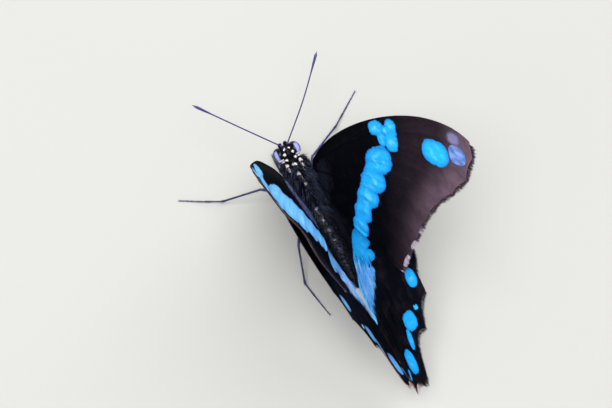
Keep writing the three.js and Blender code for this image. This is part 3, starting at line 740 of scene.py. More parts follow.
ALONG_THE_HAIR = (12, 75, 0)
LOOKS = {
    **wing_uppers(),
    "forewing_under": wing_under("forewing underside", FOREWING_UNDER),
    "hindwing_under": wing_under("hindwing underside", HINDWING_UNDER),
    "skin": look("black body skin", skin_paint, specular_ior_level=0.45),
    "hair": hair_look("body hair", "010204", "070A18", "D8D2DC", "FFF8F6", 0.03),
    "dots": hair_look("pale dots", "020306", "0B0E1C", "DCD4DC", "FFF8F6"),
    # Dark long hair, lighter grey-blue in places as a painted sheen.
    "shine": hair_look("long glossy hair with painted sheen", "0B0E18", "424E6C", "DCD4DC", "FFF8F6", 0.35),
    # Purplish grey of the left wings' root hair: dark hair with a painted sheen.
    "root_hair_painted_sheen": hair_look("wing-root hair with painted sheen", "1E2036", "5E6496", "45A0EC", "B8D6F4", 0.12,
                           ALONG_THE_HAIR, 0.1),
    "forewing_fringe": hair_look("forewing fringe", "241C23", "4A3B46", "8E8092", "BDB0C0"),
    "hindwing_fringe": hair_look("hindwing fringe", "120E13", "2C242C", "8A7470", "C4A9A0"),
    "fold_hair": hair_look("hair of the hindwing fold", "040509", "141A2C", "1490F0", "96D2FC", 0.12,
                           ALONG_THE_HAIR, 0.1),
    "eye": look("compound eye", eye_paint, roughness=0.25, specular_ior_level=0.15, coat_weight=0.08,
                coat_roughness=0.08),
    "chitin": look("black chitin", chitin_paint, specular_ior_level=0.6),
}


# ------------------------------------------------------------------ tufts

def one_tuft():
    """A thin curved lock along +Z, one unit long and wide, with its own small square of the coat's map."""
    shape = Shape()
    curl, ridge = 1.4, 0.45
    points = []
    for level, width in ((0.0, 0.42), (0.35, 0.5), (0.72, 0.3)):
        back = -curl * level * level
        points += [(-width, back, level), (width, back, level), (0, back + ridge * width, level)]
    points.append((0, -curl, 1.0))
    quads = [(3 * i + j, 3 * i + (j + 1) % 3, 3 * i + 3 + (j + 1) % 3, 3 * i + 3 + j)
             for i in range(2) for j in range(3)]
    shape.add(points, quads, [(6, 7, 9), (7, 8, 9), (8, 6, 9), (0, 2, 1)])
    mesh = shape.mesh("one tuft", ())
    mesh.transform(Matrix.Scale(1 / MM, 4))
    hold(mesh, "patch", [(p[0] + 0.5, p[2], 0) for p in points])
    return bpy.data.objects.new("one tuft", mesh)


def tuft_tree():
    """Tufts on a carrier's faces. Its attribute lie turns them, cover thins them and long stretches them."""
    tree = bpy.data.node_groups.new("Tufts along the lie", "GeometryNodeTree")
    ins = (("Carrier", "Geometry"), ("Tuft", "Object"), ("Density", "Float"), ("Length", "Float"),
           ("Width", "Float"), ("Lift", "Float"), ("Disorder", "Float"), ("Seed", "Int"),
           ("Coat", "Material"))
    for label, kind in ins:
        tree.interface.new_socket(label, in_out="INPUT", socket_type="NodeSocket" + kind)
    tree.interface.new_socket("Tufts", in_out="OUTPUT", socket_type="NodeSocketGeometry")
    source, sink = tree.nodes.new("NodeGroupInput").outputs, tree.nodes.new("NodeGroupOutput")

    def named(name, kind="FLOAT_VECTOR"):
        return put(tree, "GeometryNodeInputNamedAttribute", {"data_type": kind}, {"Name": name})

    cover = calc(tree, "MULTIPLY", source["Density"], named("cover", "FLOAT"))
    spread = put(tree, "GeometryNodeDistributePointsOnFaces", {},
                 {"Mesh": source["Carrier"], "Density": cover, "Seed": source["Seed"]}).node
    normal = spread.outputs["Normal"]
    random = put(tree, "FunctionNodeRandomValue", {"data_type": "FLOAT_VECTOR"},
                 {0: (-1, -1, -1), 1: (1, 1, 1), "Seed": source["Seed"]})
    way = scaled(tree, named("lie"), calc(tree, "COSINE", source["Lift"]))
    way = vector(tree, "ADD", way, scaled(tree, normal, calc(tree, "SINE", source["Lift"])))
    way = vector(tree, "ADD", way, scaled(tree, random, source["Disorder"]))
    turned = put(tree, "FunctionNodeAlignRotationToVector", {"axis": "Z"}, {"Vector": way})
    turned = put(tree, "FunctionNodeAlignRotationToVector", {"axis": "Y", "pivot_axis": "Z"},
                 {"Rotation": turned, "Vector": normal})
    shortest, longest = 0.65, 1.2
    vary = put(tree, "FunctionNodeRandomValue", {"data_type": "FLOAT"},
               {2: shortest, 3: longest, "Seed": source["Seed"]}, output=1)
    length = calc(tree, "MULTIPLY", calc(tree, "MULTIPLY", source["Length"], named("long", "FLOAT")), vary)
    size = put(tree, "ShaderNodeCombineXYZ", {}, {0: source["Width"], 1: source["Width"], 2: length})
    tuft = put(tree, "GeometryNodeObjectInfo", {}, {"Object": source["Tuft"]}, output="Geometry")
    tufts = put(tree, "GeometryNodeInstanceOnPoints", {},
                {"Points": spread.outputs["Points"], "Instance": tuft, "Rotation": turned, "Scale": size})
    real = put(tree, "GeometryNodeRealizeInstances", {}, {0: tufts})
    root = scaled(tree, vector(tree, "FRACTION", named("unwrap")), MAP_SHARE)
    root = vector(tree, "ADD", root, (MAP_EDGE, MAP_EDGE, 0.0))
    spot = vector(tree, "ADD", root, scaled(tree, named("patch"), TUFT_PATCH))
    mapped = put(tree, "GeometryNodeStoreNamedAttribute", {"data_type": "FLOAT2", "domain": "CORNER"},
                 {"Geometry": real, "Name": "OFBake", "Value": spot})
    soft = put(tree, "GeometryNodeSetShadeSmooth", {}, {0: mapped})
    painted = put(tree, "GeometryNodeSetMaterial", {}, {"Geometry": soft, "Material": source["Coat"]})
    tree.links.new(painted, sink.inputs[0])
    return tree


TUFT = one_tuft()
TUFTS = tuft_tree()


def coat(name, carrier, coat_look, sort, seed_step=0):
    """Runs the tuft nodes over a carrier mesh with a sort of tuft, and keeps the result as a plain piece."""
    per_mm2, length, width, lift, disorder, seed = TUFT_SORTS[sort]
    holder = bpy.data.objects.new(name + " carrier", carrier)
    bpy.context.scene.collection.objects.link(holder)
    run = holder.modifiers.new("Tufts", "NODES")
    run.node_group = TUFTS
    values = {"Tuft": TUFT, "Density": per_mm2 / MM**2, "Length": length * MM, "Width": width * MM,
              "Lift": math.radians(lift), "Disorder": disorder, "Seed": seed + seed_step, "Coat": coat_look}
    for socket in TUFTS.interface.items_tree:
        if socket.in_out == "INPUT" and socket.name in values:
            run[socket.identifier] = values[socket.name]
    bpy.context.view_layer.update()
    done = holder.evaluated_get(bpy.context.evaluated_depsgraph_get())
    mesh = bpy.data.meshes.new_from_object(done)
    bpy.data.objects.remove(holder)
    for spare in ("lie", "cover", "long", "unwrap", "patch"):
        if spare in mesh.attributes:
            mesh.attributes.remove(mesh.attributes[spare])
    mesh.name = name
    return piece(name, mesh)


# ------------------------------------------------------------------ wings

def bezier(start, rest, share):
    """A curve from a start point by two handles to an end point."""
    a, b, c, d = (np.asarray(p, float) for p in (start, *rest))
    u = share[..., None]
    return (1 - u)**3 * a + 3 * (1 - u)**2 * u * b + 3 * (1 - u) * u**2 * c + u**3 * d


def margin(wing, across):
    """The outer margin: straight from vein end to vein end, hollowed by a sine arc between each two."""
    ends = np.array((wing["leading"][2], *wing["tips"], wing["inner"][2]))
    cells = len(ends) - 1
    along = np.minimum(across * cells, cells - 1e-9)
    cell = along.astype(int)
    share = (along - cell)[..., None]
    chord = ends[cell] * (1 - share) + ends[cell + 1] * share
    middle = np.mean(wing["root"], axis=0)
    hollow = np.asarray(wing["hollows"], float)[cell][..., None]
    return chord + unit(middle - chord) * hollow * np.sin(np.pi * share)


def patch(wing, out, across):
    """The wing's flat outline filled. out runs from root to margin, across from leading to inner edge."""
    out, across = np.broadcast_arrays(np.asarray(out, float), np.asarray(across, float))
    front, back = (np.asarray(p, float) for p in wing["root"])
    r, a = out[..., None], across[..., None]
    first, last = margin(wing, np.zeros(1))[0], margin(wing, np.ones(1))[0]
    point = (1 - r) * (front * (1 - a) + back * a) + r * margin(wing, across)
    point = point + (1 - a) * bezier(front, wing["leading"], out) + a * bezier(back, wing["inner"], out)
    return point - (1 - r) * ((1 - a) * front + a * back) - r * ((1 - a) * first + a * last)


def forewing_bow(pose, t, back):
    """The far part bent inwards, its front part sunk, and a swell near the root behind the leading edge."""
    level = -back - 0.62 * t
    past = t - FLEX["from"] - FLEX["later"] * smooth(-level, 8.5, 14.5)
    flexed = pose["flex"] * (past + np.hypot(past, FLEX["round"])) / 2
    dip = pose["dip"] * smooth(t, 14, 22) * smooth(level, -8.5, -4)
    leading = 1.25 * smooth(-back - 0.66 * t, -0.5, 4)
    return flexed - dip + pose["swell"] * smooth(t, 0, 7) * (1 - smooth(t, 13, 20)) * (1 - leading)


def hindwing_bow(pose, t, back, across):
    """Sunk under the forewing, the inner fold held round the abdomen, and a swell with its crest behind."""
    covered = -0.5 * (1 - smooth(across, 0.1, 0.4)) * smooth(np.hypot(t, back), 1, 9)
    fold = 0.6 * smooth(back, 3, 9) - 0.3 * smooth(back, 15, 18.5) + 0.3 * smooth(back, 18.5, 27)
    tucked = pose["tuck"] * smooth(back, 1.5, 4) * (1 - smooth(back, 6, 9))
    wrapped = (tucked - pose["wrap"] * fold) * (1 - smooth(t, 1, 5))
    crest = 2.6 - 4.1 * smooth(back, 15, 19) + 0.68 * np.maximum(0, back - 24)
    held = smooth(back, 15, 21)
    rise = (held + (1 - held) * smooth(t, crest - 2, crest)) * (1 - smooth(t, crest, crest + 8))
    behind = smooth(back, 15, 25)
    most = (pose["swell"] * (1 - behind) + pose["rear"] * behind) * smooth(back, 2, 9)
    return covered + wrapped + most * rise


def bowed(wing, pose, flat, across):
    """Height of the wing's middle surface above its plane."""
    t, back = flat[..., 0], -flat[..., 1]
    return forewing_bow(pose, t, back) if wing is FOREWING else hindwing_bow(pose, t, back, across)


def middle_surface(wing, pose, flat, out, across):
    """Height of the membrane's middle, which sinks a little between the veins towards the margin."""
    share = (across * (len(wing["tips"]) + 1)) % 1
    pleat = WING_PLEAT * np.sin(np.pi * share) * smooth(out, 0.35, 0.75) * smooth(1 - out, -0.02, 0.2)
    return bowed(wing, pose, flat, np.broadcast_to(across, flat.shape[:2])) - pleat


def wing_frame(wing, pose, side):
    """Turns a wing's (t, s, height) into the floor's frame."""
    turned = turn("Z", side * pose["toe"]) @ turn("Y", -side * pose["raise"])
    turned = turned @ turn("Z", side * pose["sweep"])
    flat = turned @ np.diag((side, -1.0, 1.0))
    hinge = np.array((side * wing["hinge"][0], wing["hinge"][1] - pose["forwards"], wing["hinge"][2]))
    return lambda t, s, n: on_floor(np.stack([t, s, n], -1) @ flat.T + hinge)


def vein_share(wing, veins, flat):
    """1 on a vein, falling to 0 beside it."""
    best = np.full(flat.shape[:-1], 1e9)
    for vein in veins:
        legs = np.array(vein)
        fine = [np.linspace(start, end, 9)[:-1] for start, end in zip(legs[:-1], legs[1:])]
        fine = np.concatenate(fine + [legs[-1:]])
        line = patch(wing, fine[:, 0], fine[:, 1])
        for a, b in zip(line[:-1], line[1:]):
            step = b - a
            share = np.clip(((flat - a) @ step) / max(step @ step, 1e-9), 0, 1)
            best = np.minimum(best, np.linalg.norm(flat - a - share[..., None] * step, axis=-1))
    return np.exp(-(best / VEIN_WIDTH) ** 2)


def wing_piece(kind, name, side):
    """A thin wing with raised veins, upper and under side in one closed mesh."""
    wing, veins = (FOREWING, FOREWING_VEINS) if kind == "forewing" else (HINDWING, HINDWING_VEINS)
    pose = wing[name]
    cells = len(wing["tips"]) + 1
    rows, columns = (170, cells * 15) if kind == "forewing" else (130, cells * 15)
    out = np.linspace(0, 1, rows + 1)[:, None]
    across = np.linspace(0, 1, columns + 1)[None, :]
    flat = patch(wing, out, across)
    middle = middle_surface(wing, pose, flat, out, across)
    vein = vein_share(wing, veins, flat)
    half = MEMBRANE * smooth(1.04 - out, 0, 0.06) + VEIN_RISE * vein * (1.3 - 0.9 * out)
    half = half + ROOT_RISE * (1 - smooth(out, 0, 0.1))
    to_floor = wing_frame(wing, pose, side)
    t, s = flat[..., 0], flat[..., 1]
    upper = to_floor(t, s, middle + half).reshape(-1, 3)
    under = to_floor(t, s, middle - half).reshape(-1, 3)
    quads, width, layer = grid_faces(rows, columns), columns + 1, len(upper)
    rim = np.concatenate([np.arange(columns), columns + width * np.arange(rows),
                          width * rows + np.arange(columns, 0, -1), width * np.arange(rows, 0, -1)])
    rim_next = np.roll(rim, -1)
    wall = np.stack([rim, rim_next, rim_next + layer, rim + layer], 1)
    faces = np.concatenate([quads, quads[:, ::-1] + layer, wall])
    if side < 0:
        faces = faces[:, ::-1]
    mesh = mesh_of(f"{kind}_{name}", np.concatenate([upper, under]), faces,
                   (LOOKS[f"{kind}_{name}_upper"], LOOKS[kind + "_under"]))
    which = np.concatenate([np.zeros(len(quads)), np.ones(len(quads) + len(wall))]).astype(np.int32)
    mesh.polygons.foreach_set("material_index", which)
    blade = np.stack([t, s, np.zeros_like(t)], -1).reshape(-1, 3)
    span = np.stack(np.broadcast_arrays(out, across, 0 * out), -1).reshape(-1, 3)
    for label, values in (("blade", blade), ("span", span), ("vein", vein.ravel())):
        hold(mesh, label, np.concatenate([values, values]))
    return piece(f"{kind}_{name}_blade", mesh, [f"{kind}_{name}"])


def wing_hair(kind, name, side):
    """Hair on a forewing's base, or on a hindwing's inner fold down to the end of its band."""
    wing = FOREWING if kind == "forewing" else HINDWING
    pose = wing[name]
    rows, columns = 90, 70
    out = np.linspace(0.02, 0.98, rows + 1)[:, None]
    across = np.linspace(0.02, 0.985, columns + 1)[None, :]
    flat = patch(wing, out, across)
    height = middle_surface(wing, pose, flat, out, across) + MEMBRANE + 0.01
    t, s = flat[..., 0], flat[..., 1]
    to_floor = wing_frame(wing, pose, side)
    points = to_floor(t, s, height)
    if kind == "forewing":
        wide = 5 if name == "left" else 0
        cover = 1 - smooth(np.hypot(t, s), 3 + wide, 7 + wide)
        cover = cover * smooth(across, 0.15 + 0.03 * wide, 0.35 + 0.03 * wide)
        way, pale = (0.75, -0.65), np.zeros_like(t)
    else:
        fold = smooth(3.2 + 0.12 * s - t, 0, 1.6) * (1 - smooth(-s, 7, 9.5))
        if name == "left":
            fold = np.maximum(fold, smooth(5.5 + 0.1 * s - t, 0, 1.5) * (1 - smooth(-s, 9, 12)))
        end = np.interp(-s, (12.5, 14, 16, 18, 20, 22.5), (7.6, 6.4, 5.4, 3.0, 0.6, -1.0))
        end = end + 0.45 * np.sin(4.1 * s) + 0.3 * np.sin(9.7 * s)
        start = 13 + 0.7 * np.sin(3.9 * t) + 0.5 * np.sin(8.3 * t + 1)
        pale = smooth(-s - start, 0, 1.2) * (1 - smooth(-s, 21.5, 23)) * smooth(t, -1.5, -0.7)
        pale = pale * smooth(end - t, -0.2, 0.4)
        cover = np.maximum(fold, pale)
        way = (-0.04, -1.0)
    step = 0.7 * np.array(way)
    everywhere = np.broadcast_to(across, flat.shape[:2])
    rise = bowed(wing, pose, flat + step, everywhere) - bowed(wing, pose, flat, everywhere)
    ahead = to_floor(t + step[0], s + step[1], height + rise) - points
    quads = grid_faces(rows, columns)
    carrier = mesh_of("wing hair carrier", points.reshape(-1, 3), quads[:, ::-1] if side < 0 else quads)
    hold(carrier, "lie", unit(ahead).reshape(-1, 3))
    hold(carrier, "cover", cover.ravel())
    hold(carrier, "long", (0.7 + 0.4 * smooth(-s, 0, 8) + 0.35 * pale).ravel())
    hold(carrier, "dots", pale.ravel())
    span = np.stack(np.broadcast_arrays(0.05 + 0.9 * out, 0.05 + 0.9 * across, 0 * out), -1)
    hold(carrier, "unwrap", span.reshape(-1, 3))
    return carrier


def fringe_carrier(kind, name, side):
    """A narrow ribbon along the outer margin, for the fringe of long scales."""
    wing = FOREWING if kind == "forewing" else HINDWING
    pose = wing[name]
    cells = len(wing["tips"]) + 1
    count = cells * 24
    across = np.linspace(0.02, 0.995, count + 1)
    outer = patch(wing, np.ones(count + 1), across)
    way = unit(outer - patch(wing, np.full(count + 1, 0.9), across))
    inner = outer - way * 0.12
    height = bowed(wing, pose, outer, across)
    to_floor = wing_frame(wing, pose, side)
    low = to_floor(inner[:, 0], inner[:, 1], height)
    high = to_floor(outer[:, 0], outer[:, 1], height)
    tip = to_floor(outer[:, 0] + way[:, 0], outer[:, 1] + way[:, 1], height)
    points = np.concatenate([low, high])
    step = np.arange(count)
    quads = np.stack([step, step + 1, count + 2 + step, count + 1 + step], 1)
    carrier = mesh_of("fringe carrier", points, quads)
    share = (across * cells) % 1
    in_notch = np.sin(np.pi * share)
    notch = smooth(in_notch, 0.45, 0.8)
    if kind == "forewing":
        from_edge = 0.84 if name == "left" else 0.45
        full = from_edge + 0.7 * (0.95 - from_edge)
        pale = notch * smooth(across, from_edge, full) * (1 - smooth(across, 0.95, 0.98))
    else:
        from_edge = 0.3 if name == "left" else 0.58
        pale = smooth(across, from_edge, from_edge + 0.08) * (1 - smooth(across, 0.7, 0.76))
    for label, values in (("lie", unit(tip - high)), ("cover", np.ones(count + 1)),
                          ("long", 0.55 + 0.6 * in_notch), ("dots", pale)):
        hold(carrier, label, np.concatenate([values, values]))
    place = np.stack([0.05 + 0.9 * across, np.full(count + 1, 0.5), np.zeros(count + 1)], -1)
    hold(carrier, "unwrap", np.concatenate([place - (0, 0.02, 0), place + (0, 0.02, 0)]))
    return carrier


for wing_name, wing_side in SIDES:
    for wing_kind in ("forewing", "hindwing"):
        wing_piece(wing_kind, wing_name, wing_side)
        coat(f"{wing_kind}_{wing_name}_fringe", fringe_carrier(wing_kind, wing_name, wing_side),
             LOOKS[wing_kind + "_fringe"], "fringe", wing_side)
        # The left wings' hair carries the painted sheen; the right wings' hair is the darker fold hair.
        coat(f"{wing_kind}_{wing_name}_hair", wing_hair(wing_kind, wing_name, wing_side),
             LOOKS["root_hair_painted_sheen" if wing_name == "left" else "fold_hair"], "wing", wing_side)


# ------------------------------------------------------------------ body

def ring_section(at, half, top, under, sides, aside=0.0):
    """A rounded section across the body, widest a little above the middle of its height."""
    middle = under + (top - under) * 0.55
    angle = 2 * np.pi * np.arange(sides) / sides
    rise = np.sin(angle)
    return np.stack([aside + half * np.cos(angle), np.full(sides, at),
                     middle + rise * np.where(rise > 0, top - middle, middle - under)], -1)


def loft(shape, sections, count, swell, sides=40):
    """A closed trunk over a few sections, drawn in by the coat's depth. swell(y) adds to its half sizes."""
    line = curve_through(np.array([(s[0], s[1], 0) for s in sections]), count)
    ys = line[:, 0]
    given = np.array(sections)
    half, top, under = (
        np.convolve(np.pad(np.interp(ys, given[:, 0], column), 3, "edge"), np.ones(7) / 7, "valid")
        for column in given.T[1:])
    grow = swell(ys) - COAT_DEPTH
    aside = -ABDOMEN_BEND * smooth(ys, 4.5, 14)
    rings = [ring_section(y, h + g, t + g, u - g, sides, x)
             for y, h, t, u, g, x in zip(ys, half, top, under, grow, aside)]
    points = np.concatenate(rings + [rings[0].mean(0)[None], rings[-1].mean(0)[None]])
    shape.add(points, *closed_rings(count, sides))


def waves(y):
    """The thorax's low waves, from front to back."""
    return 0.06 * np.sin(2.2 * y)


def segments(y):
    """The abdomen's segments, full in the middle and drawn in where two meet."""
    return SEGMENT["swell"] * np.abs(np.sin(np.pi * (y - SEGMENT["from"]) / SEGMENT["length"])) ** 0.5


def body_skin():
    """One skin over head, thorax, coxae and abdomen, in the body frame and in millimetres."""
    shape = Shape()
    loft(shape, TRUNK, 60, waves)
    loft(shape, ((4.9, 1.2, 0.8, -2.0), *ABDOMEN, (20.15, 0.25, -0.6, -1.1)), 150, segments)
    loft(shape, ((-4.4, 0.95, 0.35, -1.9), (-2.3, 0.95, 0.25, -1.75)), 12, np.zeros_like)
    shape.ball(HEAD["at"], np.array(HEAD["half"]) - 0.1, 40, 28)
    shape.ball(BROW["at"], BROW["half"], 40, 28)
    for _, side in SIDES:
        for at, half, across, down in LUMPS:
            shape.ball(np.array(at) * (side, 1, 1), half, across, down)
    for hip, *_ in LEGS.values():
        end = in_body(under_hinges(hip))
        start = end + (-np.sign(hip[0]) * COXA["inwards"], COXA["forwards"], COXA["length"])
        shape.tube(np.linspace(start, end, 8), np.linspace(COXA["radius"], COXA["end"], 8), 20)
    mesh = shape.mesh("body skin", ())
    mesh.transform(Matrix.Scale(1 / MM, 4))
    holder = bpy.data.objects.new("body skin holder", mesh)
    bpy.context.scene.collection.objects.link(holder)
    remesh = holder.modifiers.new("One skin", "REMESH")
    remesh.mode, remesh.voxel_size, remesh.use_smooth_shade = "VOXEL", SKIN_GRAIN, True
    relax = holder.modifiers.new("Soften", "SMOOTH")
    relax.factor, relax.iterations = 0.5, 5
    bpy.context.view_layer.update()
    joined = bpy.data.meshes.new_from_object(holder.evaluated_get(bpy.context.evaluated_depsgraph_get()))
    bpy.data.objects.remove(holder)
    points = np.empty(len(joined.vertices) * 3, np.float32)
    joined.vertices.foreach_get("co", points)
    points = points.reshape(-1, 3).astype(float)
    quads = np.empty(len(joined.loops), np.int32)
    joined.loops.foreach_get("vertex_index", quads)
    normals = np.empty(len(points) * 3, np.float32)
    joined.vertices.foreach_get("normal", normals)
    return points, quads.reshape(-1, 4), normals.reshape(-1, 3).astype(float)


# Pale dots on the head and collar, in pairs and along the middle: across, behind the hinges, and radius.
DOT_PAIRS = ((0.31, -4.5, 0.16), (0.63, -3.75, 0.2), (0.68, -2.8, 0.21), (1.17, -2.05, 0.21),
             (1.06, -1.3, 0.28), (1.25, -2.75, 0.2))
MIDDLE_DOTS = ((-0.12, -1.72, 0.15), (0.12, -1.8, 0.15), (0.15, -0.2, 0.21), (-0.12, 1.6, 0.19))
# How far behind the hinges the bare glossy patches of the abdomen's back lie.
GLOSSY = (6.0, 8.1, 9.9, 11.6, 13.2)


def dotted(points, normals):
    """1 inside a pale dot, 0 outside, on the upper side only."""
    share = np.zeros(len(points))
    marks = [(side * x, y, r) for x, y, r in DOT_PAIRS for _, side in SIDES] + list(MIDDLE_DOTS)
    for x, y, radius in marks:
        away = np.hypot(points[:, 0] - x, points[:, 1] - y)
        share = np.maximum(share, smooth(radius * 1.2 - away, 0, radius * 0.4))
    return share * (normals[:, 2] > 0.1)


def glossy(points):
    """1 on the small bare patches along the middle of the abdomen's back."""
    share = np.zeros(len(points))
    middle = -ABDOMEN_BEND * smooth(points[:, 1], 4.5, 14)
    for y in GLOSSY:
        away = np.hypot((points[:, 0] - middle) / 0.3, (points[:, 1] - y) / 0.22)
        share = np.maximum(share, 1 - smooth(away, 0.7, 1.2))
    return share * (points[:, 2] > -0.5)


def body():
    """The skin over the body, and its five coats."""
    points, quads, normals = body_skin()
    mesh = mesh_of("body_skin", on_floor(points), quads, (LOOKS["skin"],))
    dots, bare = dotted(points, normals), glossy(points)
    hold(mesh, "dots", dots)
    hold(mesh, "gloss", bare)
    piece("body_skin", mesh, ["thorax", "abdomen", "head"])
    y = points[:, 1]
    every = np.ones(len(points))
    sideways = np.stack([np.sign(points[:, 0]) * 0.35, every, -0.15 * every], -1)
    lie = unit(sideways - normals * np.sum(sideways * normals, 1, keepdims=True)) @ BODY.T
    angle = np.arctan2(points[:, 0], points[:, 2] + 0.6) / (2 * np.pi) + 0.5
    legs_near = smooth(-points[:, 2], 2.6, 3.4)

    def carrier(cover, long):
        made = mesh_of("coat carrier", on_floor(points), quads)
        for label, values in (("lie", lie), ("cover", cover), ("long", long), ("dots", dots)):
            hold(made, label, values)
        hold_unwrap(made, angle, (y + 5.2) / 25.6)
        return made

    head = smooth(-y, 2.55, 2.75)
    abdomen = smooth(y, 5.4, 5.8)
    thorax = (1 - head) * (1 - abdomen)
    pale = 1 - 0.75 * smooth(dots, 0.2, 0.6)
    mane = smooth(y, -2.6, -1.2) * (1 - smooth(y, 5.5, 8)) * smooth(points[:, 2], -1.5, 0.2)
    for name, cover, long, look_name, sort in (
        ("coat_head", head, pale, "hair", "head"),
        ("coat_thorax", thorax * (1 - 0.6 * legs_near), pale * (1 - 0.4 * legs_near), "hair", "thorax"),
        ("coat_abdomen", abdomen * (1 - bare), every, "hair", "abdomen"),
        ("long_hair", mane * (1 - smooth(dots, 0.1, 0.4)), every, "shine", "long"),
        ("pale_dots", smooth(dots, 0.3, 0.6), every, "dots", "dots"),
    ):
        coat(name, carrier(cover, long), LOOKS[look_name], sort)


body()


# ------------------------------------------------------------------ head parts

def eyes():
    """Each eye has a painted reflection round its upper outer side and a pale rim behind."""
    for name, side in SIDES:
        shape = Shape()
        shape.ball((0, 0, 0), EYE["half"], 96, 64)
        shares = shape.points[0] / np.array(EYE["half"])
        shape.points[0] = on_floor(shape.points[0] + np.array(EYE["at"]) * (side, 1, 1))
        mesh = shape.mesh("eye", (LOOKS["eye"],))
        around = np.degrees(np.arctan2(shares[:, 2], side * shares[:, 0]))
        low, high = EYE_PAINTED_SHINE[name]
        sheen = smooth(around, low, low + 16) * (1 - smooth(around, high, high + 20))
        sheen = sheen * (1 - smooth(np.abs(shares[:, 1]), 0.5, 0.88))
        hold(mesh, "painted_sheen", sheen)
        rim = smooth(shares[:, 1], 0.6, 0.7) * (1 - smooth(shares[:, 1], 0.84, 0.92))
        hold(mesh, "rim", rim * smooth(around, 22, 40) * (1 - smooth(around, 100, 120)))
        piece("eye_" + name + "_lens", mesh, ["eye_" + name])


def palps():
    """The two short feelers beside the mouth, under their hair."""
    for name, side in SIDES:
        shape = Shape()
        line = curve_through(np.array(PALP["line"]) * (side, 1, 1), 22)
        share = np.linspace(0.06, 0.97, 22)
        shape.tube(on_floor(line), PALP["thick"] * np.sqrt(np.sin(np.pi * share)), 16)
        mesh = shape.mesh("palp", (LOOKS["skin"],))
        hold(mesh, "dots", np.zeros(len(mesh.vertices)))
        piece("palp_" + name + "_skin", mesh, ["palp_" + name])
        carrier = shape.mesh("palp carrier", ())
        count = len(carrier.vertices)
        places = np.concatenate(shape.points)
        hold(carrier, "lie", unit(on_floor(np.array(PALP["hair_ahead"]) * (side, 1, 1)) - places))
        hold(carrier, "cover", np.ones(count))
        hold(carrier, "long", np.ones(count))
        height = places[:, 2]
        hold(carrier, "dots", smooth((height - height.min()) / np.ptp(height), 0.75, 0.2))
        unwrap_round(carrier, places, on_floor(line))
        coat("coat_palp_" + name, carrier, LOOKS["hair"], "palp")


def proboscis():
    """The feeding tube's two ringed halves, side by side in a coil."""
    shape = Shape()
    steps = 260
    turns = np.linspace(0, 1, steps)
    angle = 2 * np.pi * COIL["turns"] * turns
    reach = COIL["radius"] * (1 - turns) + COIL["end"] * turns
    rings = 1 + 0.08 * np.sin(260 * turns)
    for offset in (-COIL["apart"], COIL["apart"]):
        line = np.stack([np.full(steps, offset), COIL["at"][1] + reach * np.sin(angle),
                         COIL["at"][2] + reach * np.cos(angle)], -1)
        shape.tube(on_floor(line), COIL["tube"] * (1 - 0.35 * turns) * rings, 12)
    mesh = hold_painted_sheen(shape.mesh("proboscis", (LOOKS["chitin"],)))
    piece("proboscis_coil", mesh, ["proboscis"])


def feelers():
    """Ringed feelers, thicker at the far end."""
    for name, side in SIDES:
        base = np.array(FEELER["base"]) * (side, 1, 1)
        tip = np.array(FEELER[name]["tip"])
        bend = (base + tip) / 2 + FEELER[name]["sag"]
        count = FEELER["rings"] * 6 + 1
        line = curve_through([base, bend, tip], count)
        share = np.linspace(0, 1, count)
        radius = FEELER["shaft"] + (FEELER["club"] - FEELER["shaft"]) * smooth(share, 0.76, 0.93)
        radius = radius * (1 - 0.75 * smooth(share, 0.955, 1.0))
        ringed = 1 - 0.16 * (np.abs(np.sin(np.pi * FEELER["rings"] * share)) < 0.3)
        shape = Shape()
        shape.tube(on_floor(line), radius * ringed, 14)
        shape.ball(on_floor(base + unit(tip - base) * 0.14), (0.2, 0.2, 0.2), 20, 14)
        mesh = hold_painted_sheen(shape.mesh("feeler", (LOOKS["chitin"],)))
        piece("feeler_" + name, mesh, ["antenna_" + name])


eyes()
palps()
proboscis()
feelers()


# ------------------------------------------------------------------ legs

